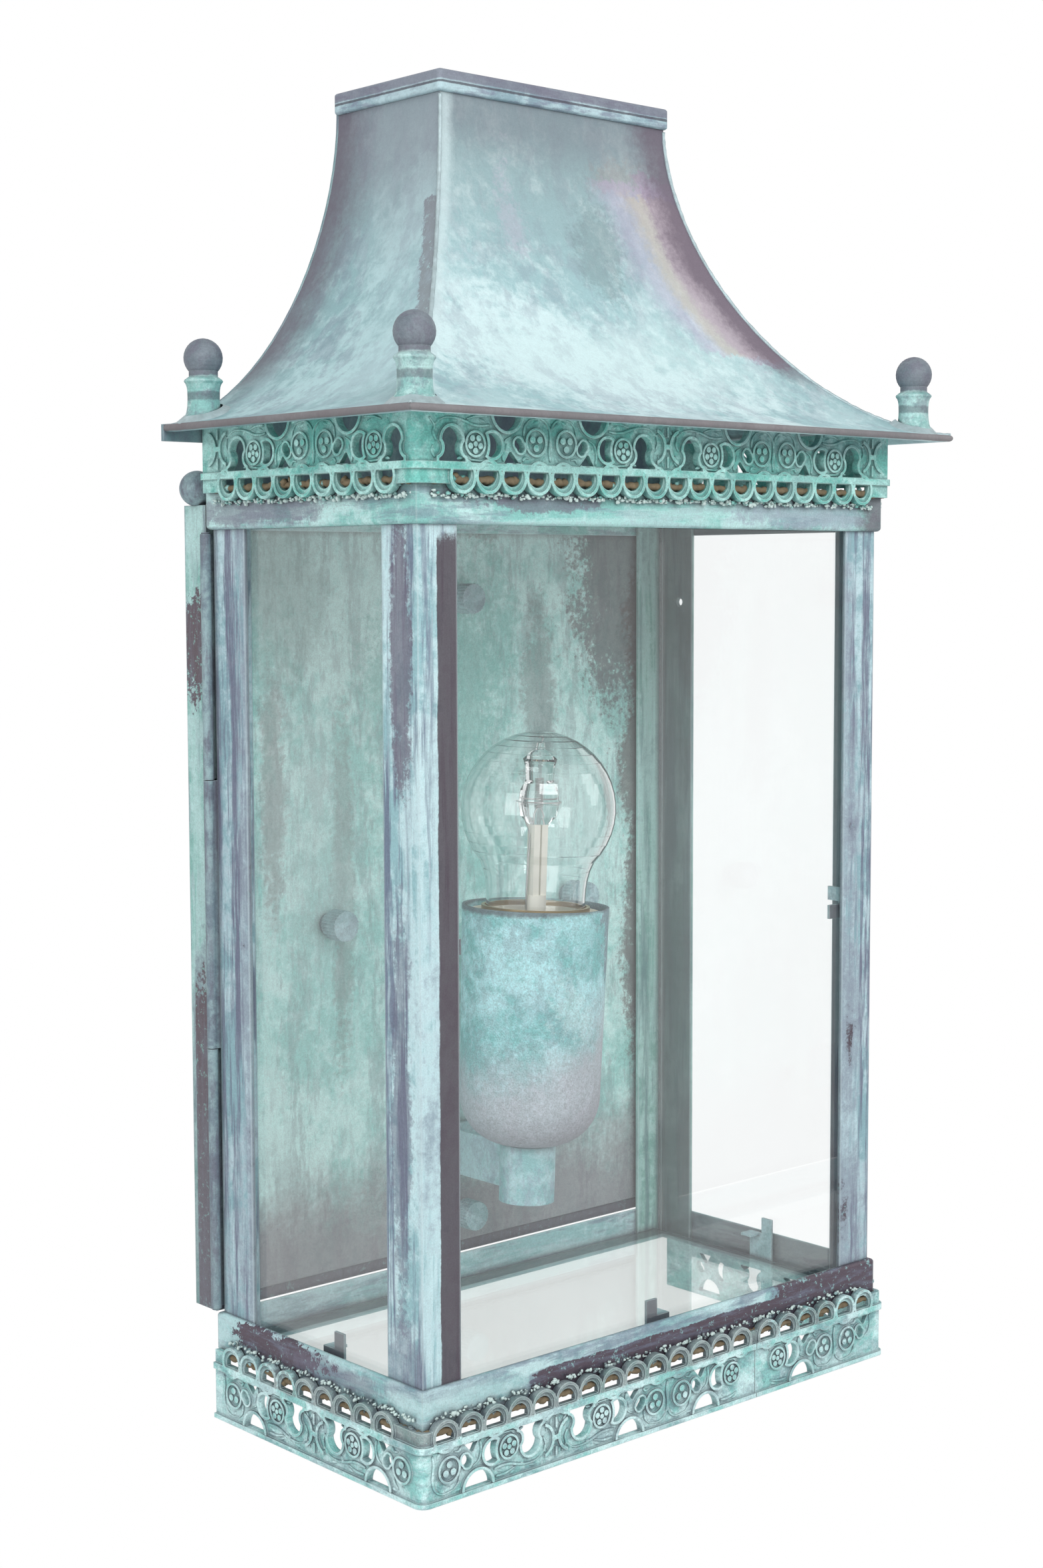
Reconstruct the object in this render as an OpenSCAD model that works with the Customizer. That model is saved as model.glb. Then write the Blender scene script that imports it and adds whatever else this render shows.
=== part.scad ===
// Wall lantern in verdigris brass, with a glazed body that swings open on a hinge.
// The wall is the plane y = 0 and the lantern faces -Y. Lengths are in millimetres.
// Heights in this file are first counted up from the lower edge of the skirt.

/* [Lantern body] */
// Width of the body over the rails
body_w = 236; // [210:1:270]
// Depth of the body over the rails
body_d = 121; // [110:1:150]
// Height of the glazed opening between the two rails
opening_h = 292.3; // [250:0.1:330]
// Height of the base rail's top edge above the skirt's lower edge
base_rail_top = 39.5; // [38:0.5:46]
// Height of each rail
rail_h = 14; // [12:0.5:18]
// Thickness of the rail's wall
rail_t = 1.8; // [1.2:0.1:2.4]
// Width of the ledge inside each rail
ledge_w = 9; // [8.5:0.5:12]
// Thickness of the ledge
ledge_t = 1.5; // [1:0.1:2]
// Rounding of the rail's free outer edge
rail_round = 1.4; // [0.6:0.1:1.7]

/* [Corner posts] */
// Leg of the angle on the front and the back of the body
post_face_leg = 17; // [14:0.5:20]
// Leg of the angle on the sides of the body
post_side_leg = 19; // [15:0.5:24]
// Thickness of the angle
post_t = 1.5; // [1:0.1:2.5]
// Diameter of the closing screw's hole in the rear right post
close_hole_d = 3.2; // [2:0.1:4]
// Distance of that hole below the upper rail
close_hole_down = 28.1; // [20:0.1:60]
// Distance of that hole from the back of the body
close_hole_in = 13.8; // [9:0.1:16]

/* [Glass] */
// Thickness of the three standing panes
pane_t = 3; // [2:0.1:4]
// Thickness of the glass floor
floor_t = 2.5; // [2:0.1:3]
// Play between a pane and the metal round it
pane_play = 0.2; // [0.1:0.05:0.4]
// Gap that is left between two panes for a clip to pass
clip_gap = 1.9; // [1.6:0.1:2.4]

/* [Glass clips] */
// Width of a clip
clip_w = 12; // [8:0.5:16]
// Full length of a clip
clip_len = 19.5; // [17:0.5:24]
// Length of the two tongues at its end
clip_tongue = 6.5; // [4:0.5:9]
// Distance of the side clips in front of the panes' middle
clip_shift = 7; // [0:0.5:20]
// Thickness of the strip
clip_t = 1; // [0.6:0.1:1.2]
// Width of the slit between the tongues
clip_slit = 1; // [0.5:0.1:2]

/* [Pierced strips] */
// Length of one period of the scrollwork, which sets the size of the whole casting
motif_pitch = 113; // [110:1:118]
// Thickness of the strip
strip_t = 2; // [1.6:0.1:3]
// Height of the cast relief on it
relief_h = 1; // [0.4:0.1:1.4]
// Number of small arched openings in one period
arches = 10; // [9:1:11]
// Radius of the bend at the corners, on the inside
strip_bend = 1; // [0.8:0.1:1]
// Gap between the strip and the rails' faces
strip_gap = 0.6; // [0.3:0.1:0.8]
// Shift of the gallery's scrollwork from the middle of the front
gallery_shift = -4.6; // [-10:0.5:10]
// Distance of the gallery's side motif from the front
gallery_side = 52; // [45:1:58]
// Height of the gallery above the upper rail
gallery_over = 25.2; // [20:0.1:30]
// Place of the skirt's seam, right of the middle
skirt_seam = 44.7; // [30:0.1:60]
// Place of the motif next to the middle of the skirt's front
skirt_shift = -3.1; // [-10:0.1:10]
// Distance of the skirt's side motif from the front
skirt_side = 113.3; // [108:0.1:117]
// Width of the joint in the skirt's seam
seam_gap = 0.3; // [0.1:0.1:0.6]
// Space between the strips' rear ends and the back sheet
strip_play = 0.5; // [0.3:0.1:1]

/* [Roof] */
// Overhang of the eave past the rails at the sides
eave_side = 18.9; // [14:0.1:22]
// Overhang of the eave past the rails at the front
eave_front = 20.3; // [14:0.1:24]
// Depth of the eave's upper face below the gallery's top edge
eave_drop = 1.7; // [1.5:0.1:2.3]
// Run of the curved slope in plan, from the eave to the neck
roof_run = 80.3; // [72:0.1:88]
// Rise of the curved slope
roof_rise = 117.7; // [90:0.1:140]
// Exponent of the slope's curve, where 2 is a quarter ellipse
roof_curve = 1.72; // [1.4:0.01:2.2]
// Thickness of the sheet
sheet_t = 1.4; // [1:0.1:2]
// Thickness of the rolled hem along the eave
hem_t = 2.6; // [2:0.1:3.2]
// Width of the hem
hem_w = 4.5; // [3:0.5:6]
// Drop of the back sheet's corners below the eave
wing_drop = 6; // [3:0.5:8]
// Height of the cap
cap_h = 8.8; // [6:0.1:14]
// Wall of the cap
cap_t = 1.5; // [1.2:0.1:2.5]
// Rounding of the cap's edges
cap_round = 1.8; // [1:0.1:3]
// Clearance between the cap and the neck of the roof
cap_play = 0.1; // [0.05:0.05:0.3]

/* [Finials] */
// Height of a finial above the eave
finial_h = 30.3; // [24:0.1:36]
// Diameter of its ball
finial_ball_d = 14; // [11:0.1:16]
// Diameter of its foot
finial_foot_d = 14.8; // [12:0.1:17]
// Distance of its axis from each eave edge
finial_inset = 11; // [9:0.5:16]

/* [Wall box] */
// How far the wall box reaches above the upper rail's lower edge
box_rise = 9.2; // [4:0.1:12]
// How far the wall box reaches below the base rail's upper edge
box_drop = 0.5; // [0:0.1:4]
// Depth of the wall box
box_d = 13.6; // [12:0.1:22]
// Thickness of its sheet
box_t = 1.2; // [0.8:0.1:2]
// How far each side of the box stands inside the body's side
box_inset = 0.8; // [0.6:0.1:2]
// Width of the lips at its front
lip_w = 6; // [4:0.5:9]
// Gap between the box and the closed body
door_gap = 1.9; // [1.5:0.1:3]
// Width between the wall screws
screw_span_x = 190; // [150:1:200]
// Height between the wall screws
screw_span_z = 250; // [200:1:260]
// Diameter of a wall screw's hole
screw_hole_d = 5.5; // [4:0.1:7]
// Diameter of the cable entry
entry_d = 16; // [12:0.5:22]
// Height of the cable entry above the middle of the box
entry_up = -70; // [-90:1:-40]
// Diameter of the ball on each upper corner of the box
corner_ball_d = 13.2; // [9:0.1:15]

/* [Back plate and nuts] */
// Thickness of the back plate
plate_t = 1.2; // [1:0.1:2]
// Distance of the back plate's edge from the side of the box
plate_edge = 4.2; // [3:0.1:6]
// Distance of the back plate's ends from the top and the bottom of the box
plate_end = 5; // [3:0.5:10]
// Distance of the side nuts from the middle
nut_span_x = 62.5; // [40:0.5:80]
// Distance of the upper nut below the top of the box
nut_top_in = 35; // [24:0.1:50]
// Distance of the lower nut above the bottom of the box
nut_foot_in = 17.6; // [15:0.1:40]
// Height of the side nuts above the middle of the box
nut_mid = -8.7; // [-15:0.1:5]
// Diameter of the knurled head
nut_d = 12; // [9:0.1:16]
// Length of the knurled head
nut_head = 8; // [5:0.1:10]
// Diameter of the nut's collar
nut_collar_d = 8; // [6:0.1:11]
// Length of the collar
nut_collar = 4; // [2:0.1:6]
// Thickness of the nut's closed end
nut_web = 1; // [0.6:0.1:2]
// Number of knurls
knurls = 26; // [16:1:36]
// Diameter of a stud
stud_d = 4; // [3:0.1:5]
// Clearance round a stud
stud_play = 0.1; // [0.05:0.05:0.3]

/* [Hinge] */
// Diameter of the hinge pin
pin_d = 2; // [1.6:0.1:2.4]
// Running clearance of the pin, on the radius
pin_play = 0.08; // [0.02:0.01:0.1]
// Outer diameter of a knuckle
knuckle_d = 4; // [3.6:0.1:4.4]
// Distance of the hinge axis outside the post's face
hinge_out = 2.3; // [2.2:0.1:3]
// Space between the hinge and each rail
hinge_end = 1.5; // [1:0.1:4]
// Height of the middle knuckle's lower end above the skirt's lower edge
knuckle_up = 140; // [120:1:160]
// Length of the middle knuckle
knuckle_len = 100; // [80:1:120]
// Gap between two knuckles
knuckle_gap = 0.3; // [0.2:0.05:0.5]
// Thickness of a hinge leaf
leaf_t = 0.8; // [0.6:0.05:0.8]
// Width of the leaf on the post
leaf_w = 11; // [6:0.5:14]
// Gap between the other leaf and the back plate
leaf_gap = 0.5; // [0.3:0.1:1]
// Thickness of the pin's heads
pin_head = 0.6; // [0.4:0.1:0.8]

/* [Lamp cup] */
// Distance of the lamp's axis in front of the back of the body
lamp_out = 50; // [46:0.5:60]
// Distance of the spigot right of the middle
lamp_x = -8; // [-20:0.5:20]
// Lean of the lamp towards the right, in degrees
lamp_lean = 2.6; // [0:0.1:5]
// Height of the spigot's lower end above the skirt's lower edge
spigot_up = 72.5; // [60:0.5:90]
// Diameter of the spigot
spigot_d = 21.6; // [16:0.1:26]
// Length of the spigot
spigot_h = 22.5; // [15:0.5:30]
// Wall of the spigot
spigot_t = 1.2; // [0.8:0.1:2]
// Diameter of the cup
cup_d = 57; // [50:0.5:64]
// Height of the cup
cup_h = 93; // [80:0.5:110]
// Wall of the cup
cup_t = 1; // [0.8:0.1:1.6]
// Rounding of the cup's bottom
cup_round = 19; // [8:0.5:22]
// Taper of the cup's side, on the radius
cup_taper = 1.2; // [0:0.1:3]

/* [Lamp arm] */
// Thickness of the arm
arm_t = 2.5; // [1.5:0.1:4]
// Height of the arm
arm_h = 18; // [12:0.5:22]
// Height of the arm's lower edge above the spigot's lower end
arm_up = 3; // [2:0.5:6]
// Length of its foot on the back plate
arm_foot = 18; // [12:0.5:24]
// Distance of the wire's hole in the back plate, right of the arm
wire_right = 32; // [29:0.5:36]
// Diameter of that hole
wire_hole_d = 8; // [6:0.5:9]

/* [Lampholder and bulb] */
// Diameter of the ceramic body
holder_d = 44; // [42:0.5:48]
// Height of the ceramic body
holder_h = 66; // [50:0.5:72]
// Diameter of its top flange
flange_d = 50; // [44:0.5:54]
// Height of that flange
flange_h = 6; // [4:0.5:10]
// Diameter of the threaded tube that carries the holder
nipple_d = 10; // [8:0.5:12]
// Outer diameter of the brass ring on the holder
ring_d = 42; // [41:0.5:46]
// Inner diameter of that ring
ring_bore = 39.6; // [39.2:0.2:40.4]
// Height of that ring
ring_h = 2; // [1:0.1:4]
// Diameter of the bulb's screw cap
screw_cap_d = 26; // [25:0.1:27]
// Length of the bulb's screw cap
screw_cap_h = 25; // [20:0.5:28]
// Diameter of the bulb's neck at the ring
bulb_neck_d = 38.6; // [32:0.2:39]
// Height of the neck above the screw cap, up to the ring
bulb_neck_h = 16; // [12:0.5:18]
// Diameter of the bulb
bulb_d = 60; // [55:0.5:62]
// Height of the bulb's glass above its screw cap
bulb_h = 83.5; // [76:0.5:86]
// Thickness of the bulb's glass
bulb_t = 0.8; // [0.6:0.1:1.2]
// Diameter of the inner capsule
capsule_d = 16; // [10:0.5:18]

/* [Hidden] */
fine = 48;
eps = 0.01;

// Height of the wall box, and of its lower edge above the skirt's lower edge
box_h = opening_h + box_rise + box_drop;
box_up = base_rail_top - box_drop;

// Height above the skirt's lower edge, turned into a height in the part's frame
foot = -(box_up + box_h / 2);
function lift(h) = foot + h;

// Planes of the body
body_back = -(box_d + door_gap);
body_front = body_back - body_d;
body_mid = (body_front + body_back) / 2;
half_w = body_w / 2;
top_rail_low = base_rail_top + opening_h;
base_rail_low = base_rail_top - rail_h;
top_rail_top = top_rail_low + rail_h;
gallery_top = top_rail_top + gallery_over;
eave_up = gallery_top - eave_drop;
ledge_top = base_rail_low + ledge_t;
ledge_under = top_rail_top - ledge_t;

// Faces of the posts and the panes
post_x = half_w - rail_t;
post_front_y = body_front + rail_t;
post_back_y = body_back - rail_t;
pane_x = post_x - post_t - pane_play;
pane_front_y = post_front_y + post_t + pane_play;
pane_low = ledge_top;
pane_top = ledge_under - pane_play;
side_front_y = pane_front_y + pane_t + clip_gap;
side_back_y = post_back_y - post_t - pane_play;

// Hinge
hinge_x = -(post_x + hinge_out);
hinge_y = (post_back_y - box_d) / 2;
hinge_low = base_rail_top + hinge_end;
hinge_top = top_rail_low - hinge_end;
bore_r = pin_d / 2 + pin_play;

// Wall box and back plate
box_x = half_w - box_inset;
plate_front = -(box_d + plate_t);
plate_x = box_x - plate_edge;
nut_end = plate_front - nut_collar - nut_head;
stud_end = nut_end + nut_web + stud_play;

// Roof
neck_x = half_w + eave_side - roof_run;
neck_y = body_front - eave_front + roof_run;
eave_x = half_w + eave_side;
eave_y = body_front - eave_front;
neck_top = eave_up + roof_rise + cap_h - cap_t - cap_play;
back_face = body_back - sheet_t;
curve_steps = 22;

// Lamp
lamp_y = body_back - lamp_out;
cup_low = spigot_h;
holder_low = cup_low + cup_h - holder_h - ring_h;
bulb_low = cup_low + cup_h - bulb_neck_h;
cap_low = bulb_low - screw_cap_h;
capsule_up = bulb_h - 0.6 * bulb_d;

// Point of the roof's curve: how far out from the neck, and how high above the eave
function curve_out(a) = roof_run * (1 - pow(cos(a), 2 / roof_curve));
function curve_rise(a) = roof_rise * (1 - pow(sin(a), 2 / roof_curve));
function curve_angle(i) = 90 * i / curve_steps;
function curve_point(a) = [curve_out(a), curve_rise(a)];
function curve_step(a) = curve_point(min(a + 0.5, 90)) - curve_point(max(a - 0.5, 0));
function curve_normal(a) = let (s = curve_step(a)) [s[1], -s[0]] / norm(s);
function curve_inside(a) = curve_point(a) + sheet_t * curve_normal(a);

// Closed outline of the space under the roof's surface, out from the neck to the right
function under_roof() = concat(
  [[-2 * eave_x, -hem_t], [-2 * eave_x, neck_top - eave_up], [0, neck_top - eave_up]],
  [for (i = [0 : curve_steps]) curve_point(curve_angle(i))],
  [[roof_run, -hem_t]]
);

// Section of the roof's sheet: the outer curve, a rolled hem and the inner curve back up
function roof_section() = concat(
  [[-sheet_t, neck_top - eave_up], [0, neck_top - eave_up]],
  [for (i = [0 : curve_steps - 1]) curve_point(curve_angle(i))],
  [for (a = [90 : -22.5 : -90])
    [roof_run + hem_t / 2 * (cos(a) - 1), hem_t / 2 * (sin(a) - 1)]],
  [[roof_run - hem_w, -hem_t]],
  [for (i = [curve_steps : -1 : 0])
    let (p = curve_inside(curve_angle(i))) if (p[0] < roof_run - hem_w) p]
);

// Right edge of the back sheet, from the neck down to the rail
function back_edge() = concat(
  [[neck_x, neck_top]],
  [for (i = [0 : curve_steps])
    [neck_x + curve_out(curve_angle(i)), eave_up + curve_rise(curve_angle(i))]],
  [[eave_x, eave_up - wing_drop], [half_w, eave_up - wing_drop], [half_w, top_rail_top]]
);

// A roof sheet that runs along X, its neck at y = 0 and its eave towards -Y
module roof_run_sheet(half_len) {
  translate([-half_len, 0, lift(eave_up)])
    rotate([90, 0, 90])
      linear_extrude(2 * half_len)
        mirror([1, 0]) polygon(roof_section());
}

// Plan of the ground that the front sheet covers, bounded by the two hips
module front_plan() {
  reach = roof_run + 1;
  polygon([
    [-neck_x - reach, neck_y - reach], [neck_x + reach, neck_y - reach],
    [neck_x - 2, neck_y + 2], [-neck_x + 2, neck_y + 2]
  ]);
}

// Plan of the ground that the right sheet covers, from the hip to the back sheet
module side_plan() {
  reach = roof_run + 1;
  polygon([
    [neck_x - 2, neck_y + 2], [neck_x + reach, neck_y - reach],
    [neck_x + reach, back_face], [neck_x - 2, back_face]
  ]);
}

module plan_prism() {
  translate([0, 0, lift(eave_up - roof_run)]) linear_extrude(roof_rise + 2 * roof_run) children();
}

module roof_front() {
  color("#a9c3c4")
    intersection() {
      translate([0, neck_y, 0]) roof_run_sheet(eave_x + 2);
      plan_prism() front_plan();
    }
}

module roof_side() {
  intersection() {
    translate([neck_x, body_mid, 0]) rotate(90) roof_run_sheet(body_d);
    plan_prism() side_plan();
  }
}

module roof_right() {
  color("#9fbcbd") roof_side();
}

module roof_left() {
  color("#8f9fa6") mirror([1, 0, 0]) roof_side();
}

module roof_back() {
  edge = back_edge();
  color("#87989e")
    translate([0, body_back, foot])
      rotate([90, 0, 0])
        linear_extrude(sheet_t)
          polygon(concat(edge, [for (k = [len(edge) - 1 : -1 : 0]) [-edge[k][0], edge[k][1]]]));
}

// The space under the whole roof, used to seat what stands on it
module roof_solid() {
  intersection() {
    translate([-eave_x - 2, neck_y, lift(eave_up)])
      rotate([90, 0, 90])
        linear_extrude(2 * eave_x + 4) mirror([1, 0]) polygon(under_roof());
    translate([neck_x, body_back, lift(eave_up)])
      rotate([90, 0, 0])
        linear_extrude(body_d + eave_front + 2) polygon(under_roof());
    translate([-neck_x, body_back, lift(eave_up)])
      rotate([90, 0, 0])
        linear_extrude(body_d + eave_front + 2) mirror([1, 0]) polygon(under_roof());
  }
}

// A box cap with softly rounded edges that sits over the neck
module roof_cap() {
  cap_x = neck_x + cap_play + cap_t;
  cap_front = neck_y - cap_play - cap_t;
  cap_low = eave_up + roof_rise + 0.7;
  low = lift(cap_low);
  high = lift(eave_up + roof_rise + cap_h);
  color("#7d8a93")
    difference() {
      hull()
        for (x = [-cap_x + cap_round, cap_x - cap_round], y = [cap_front + cap_round, body_back - cap_round])
          translate([x, y, low]) cap_corner(high - low);
      translate([-neck_x - cap_play, neck_y - cap_play, low - 1])
        cube([2 * (neck_x + cap_play), body_back - neck_y + 5, lift(neck_top) + cap_play - low + 1]);
    }
}

module cap_corner(h) {
  r = cap_round;
  rotate_extrude($fn = 32)
    polygon(concat(
      [[0, 0]],
      [for (a = [-90 : 18 : 0]) [r * cos(a), r * 0.6 * (1 + sin(a))]],
      [for (a = [0 : 18 : 90]) [r * cos(a), h - r * 0.6 * (1 - sin(a))]],
      [[0, h]]
    ));
}

// Turned finial: ball, neck, sharp collar, waist and flared foot, standing on z = 0
module finial_turning() {
  ball_r = finial_ball_d / 2;
  foot_r = finial_foot_d / 2;
  ball_z = finial_h - ball_r;
  neck_r = 0.74 * ball_r;
  neck_a = acos(neck_r / ball_r);
  collar_z = ball_z - 8.2;
  waist_r = 0.82 * ball_r;
  rotate_extrude($fn = fine)
    polygon(concat(
      [[0, 0], [foot_r, 0], [foot_r, 2.2], [foot_r - 0.4, 2.8]],
      [for (a = [10 : 16 : 90])
        [foot_r - 0.4 - (foot_r - 0.4 - waist_r) * sin(a), 2.8 + (collar_z - 6.4) * 0.75 * (1 - cos(a))]],
      [for (a = [20 : 20 : 80])
        [waist_r + (ball_r - waist_r) * (1 - cos(a)), collar_z - 4.6 + 4.2 * sin(a)]],
      [[ball_r, collar_z], [ball_r - 0.3, collar_z + 0.5], [neck_r, collar_z + 1.6],
       [neck_r, ball_z - ball_r * sin(neck_a)]],
      [for (a = [-neck_a + 8 : 12 : 88]) [ball_r * cos(a), ball_z + ball_r * sin(a)]],
      [[0, ball_z + ball_r]]
    ));
}

module finial(x, y) {
  color("#8d93a4")
    difference() {
      translate([x, y, lift(eave_up)]) finial_turning();
      roof_solid();
    }
}

module finial_front_left() {
  finial(-eave_x + finial_inset, eave_y + finial_inset);
}

module finial_front_right() {
  finial(eave_x - finial_inset, eave_y + finial_inset);
}

module finial_rear_left() {
  finial(-eave_x + finial_inset, body_back - finial_inset);
}

module finial_rear_right() {
  finial(eave_x - finial_inset, body_back - finial_inset);
}

// Section of a rail: inward along x and up along y, its free edge rounded at the bottom
module rail_section() {
  r = rail_round;
  polygon(concat(
    [[0, rail_h]],
    [for (a = [180 : 15 : 270]) [r + r * cos(a), r + r * sin(a)]],
    [[rail_t, 0], [rail_t, rail_h - ledge_t], [rail_t + ledge_w, rail_h - ledge_t],
     [rail_t + ledge_w, rail_h]]
  ));
}

// One side of a rail, its outer face on y = 0 and its inside towards +Y, mitred at both ends
module rail_side(len) {
  k = rail_t + ledge_w + 1;
  intersection() {
    translate([-len / 2, 0, 0]) rotate([90, 0, 90]) linear_extrude(len) rail_section();
    translate([0, 0, -1])
      linear_extrude(rail_h + 2)
        polygon([[-len / 2, 0], [len / 2, 0], [len / 2 - k, k], [-len / 2 + k, k]]);
  }
}

module rail_ring() {
  translate([0, body_front, 0]) rail_side(body_w);
  translate([0, body_back, 0]) rotate(180) rail_side(body_w);
  translate([half_w, body_mid, 0]) rotate(90) rail_side(body_d);
  translate([-half_w, body_mid, 0]) rotate(-90) rail_side(body_d);
}

module top_rail() {
  color("#9cc4bf") translate([0, 0, lift(top_rail_low)]) rail_ring();
}

module base_rail() {
  color("#93bdb8") translate([0, 0, lift(base_rail_top)]) mirror([0, 0, 1]) rail_ring();
}

// Angle post with its corner at the origin and its legs along +X and +Y
module post_angle() {
  linear_extrude(ledge_under - ledge_top)
    union() {
      square([post_face_leg, post_t]);
      square([post_t, post_side_leg]);
    }
}

module post_front_left() {
  color("#86a3ab") translate([-post_x, post_front_y, lift(ledge_top)]) post_angle();
}

module post_front_right() {
  color("#8aa7ad") translate([post_x, post_front_y, lift(ledge_top)]) mirror([1, 0, 0]) post_angle();
}

module post_rear_left() {
  color("#8a90a6") translate([-post_x, post_back_y, lift(ledge_top)]) mirror([0, 1, 0]) post_angle();
}

module post_rear_right() {
  color("#7d9f9e")
    difference() {
      translate([post_x, post_back_y, lift(ledge_top)]) rotate(180) post_angle();
      translate([post_x - post_t - 1, body_back - close_hole_in, lift(top_rail_low - close_hole_down)])
        rotate([0, 90, 0]) cylinder(d = close_hole_d, h = post_t + 2, $fn = fine);
    }
}

module pane_front() {
  color("#cfe0dd", 0.3)
    translate([-pane_x, pane_front_y, lift(pane_low)])
      cube([2 * pane_x, pane_t, pane_top - pane_low]);
}

module pane_right() {
  color("#cfe0dd", 0.3)
    translate([pane_x - pane_t, side_front_y, lift(pane_low)])
      cube([pane_t, side_back_y - side_front_y, pane_top - pane_low]);
}

module pane_left() {
  color("#cfe0dd", 0.3)
    translate([-pane_x, side_front_y, lift(pane_low)])
      cube([pane_t, side_back_y - side_front_y, pane_top - pane_low]);
}

module pane_floor() {
  floor_x = pane_x - pane_t - clip_gap;
  color("#cfe0dd", 0.3)
    translate([-floor_x, side_front_y, lift(ledge_top)])
      cube([2 * floor_x, post_back_y - post_t - pane_play - side_front_y, floor_t]);
}

// Clip that stands on z = 0 against a pane at y < 0: a strip slit into two tongues,
// one straight and one folded inward
module clip() {
  tongue_w = (clip_w - clip_slit) / 2;
  root = clip_len - clip_tongue;
  translate([-clip_w / 2, 0, 0]) cube([clip_w, clip_t, root]);
  translate([-clip_w / 2, 0, root - eps]) cube([tongue_w, clip_t, clip_tongue]);
  translate([clip_w / 2 - tongue_w, 0, root - clip_t]) cube([tongue_w, clip_tongue, clip_t]);
}

module clips_front() {
  y = pane_front_y + pane_t + pane_play;
  mid = (pane_low + pane_top) / 2;
  color("#7f8f94") {
    translate([0, y, lift(ledge_top)]) clip();
    translate([post_x - post_t, y, lift(mid)]) rotate([0, -90, 0]) clip();
    translate([post_t - post_x, y, lift(mid)]) rotate([0, 90, 0]) clip();
  }
}

// Clip at the foot of the right pane
module side_clip() {
  y = (side_front_y + side_back_y) / 2 - clip_shift;
  translate([pane_x - pane_t - pane_play, y, lift(ledge_top)]) rotate(90) clip();
}

module clips_right() {
  color("#7f8f94") side_clip();
}

module clips_left() {
  color("#7f8f94") mirror([1, 0, 0]) side_clip();
}

// The casting is drawn for a period of 113, and scaled to the real one. Along x the strip
// runs, and y counts from its plain border. Each opening can grow into the rim round it.
drawn_pitch = 113;
drawn_h = 29.2;
drawn_rim = 1;
strip_scale = motif_pitch / drawn_pitch;
arch_pitch = drawn_pitch / arches;

module keyhole(grow) {
  difference() {
    union() {
      translate([0, 11.7]) circle(r = 4.4 + grow, $fn = 24);
      polygon([
        [-3.6 - grow, 11.7], [3.6 + grow, 11.7], [5.7 + grow, 17.4], [5.7 + grow, 18.7 + grow],
        [-5.7 - grow, 18.7 + grow], [-5.7 - grow, 17.4]
      ]);
    }
    for (m = [-1, 1]) translate([m * 7.1, 14.3]) circle(r = 3.8 - grow, $fn = 24);
  }
}

module crescent(grow) {
  difference() {
    translate([-1.5, 12.9]) circle(r = 4.1 + grow, $fn = 24);
    translate([-10.8, 12.9]) circle(r = 8.2 - grow, $fn = 32);
  }
}

module half_disc(grow) {
  intersection() {
    translate([0, 1.6]) circle(r = 6.4 + grow, $fn = 32);
    translate([-9, 1.9]) square([18, 9]);
  }
}

module seed(grow) {
  for (k = [-1, 1]) translate([-0.5 * k, 12.6 + 0.6 * k]) circle(r = 1.9 + grow, $fn = 20);
}

module wedge_hole() {
  polygon([[-3.5, 18.6], [3.3, 18.6], [1, 14.9], [0.1, 14.7]]);
}

module arch_hole() {
  intersection() {
    translate([0, 22.3]) circle(r = 0.38 * arch_pitch, $fn = 24);
    translate([-6, 21.5]) square([12, 8]);
  }
}

module ring(r, w) {
  difference() {
    circle(r = r, $fn = 28);
    circle(r = r - w, $fn = 28);
  }
}

// Three berries in a ring
module berries() {
  ring(4.9, 0.8);
  for (a = [90, 210, 330]) translate([1.9 * cos(a), 1.9 * sin(a)]) circle(r = 1.2, $fn = 16);
}

// A flower of five petals in a ring
module daisy() {
  ring(4.5, 0.8);
  circle(r = 0.9, $fn = 16);
  for (a = [90 : 72 : 378]) translate([2.3 * cos(a), 2.3 * sin(a)]) circle(r = 1.05, $fn = 16);
}

// Two leaves back to back, with a band round their middle
module leaf_pair() {
  for (m = [-1, 1])
    intersection() {
      translate([m * 7.2, 10.6]) ring(6.4, 1.1);
      translate([-5.4, 3.2]) square([10.8, 15.8]);
    }
  translate([-2, 9.7]) square([4, 1.8]);
  translate([-0.4, 3.6]) square([0.8, 3.6]);
  translate([-0.4, 14]) square([0.8, 4]);
}

// Openings round one motif at x = c, or their rims, kept where they fit inside the run
module motif_openings(c, half_run, grow) {
  for (m = [-1, 1]) {
    if (abs(c + m * 44.3) < half_run - 7) translate([c + m * 44.3, 0]) keyhole(grow);
    if (abs(c + m * 25.2) < half_run - 4) translate([c + m * 25.2, 0]) scale([-m, 1]) crescent(grow);
    if (abs(c + m * 20) < half_run - 8) translate([c + m * 20, 0]) half_disc(grow);
    if (abs(c + m * 14.6) < half_run - 4) translate([c + m * 14.6, 0]) scale([m, 1]) seed(0.7 * grow);
    if (grow == 0 && abs(c + m * 17.5) < half_run - 4)
      translate([c + m * 17.5, 0]) scale([m, 1]) wedge_hole();
  }
}

// Relief round one motif
module motif_relief(c, half_run) {
  motif_openings(c, half_run, drawn_rim);
  for (m = [-1, 1]) {
    if (abs(c + m * 7) < half_run - 5) translate([c + m * 7, 11.4]) berries();
    if (abs(c + m * 34.2) < half_run - 5) translate([c + m * 34.2, 12.7]) daisy();
  }
}

// Middles of what repeats along a run that is centred on x = 0
function repeats(half_run, phase, pitch, room) =
  [for (k = [-30 : 30]) let (x = phase + k * pitch) if (abs(x) < half_run - room) x];

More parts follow.
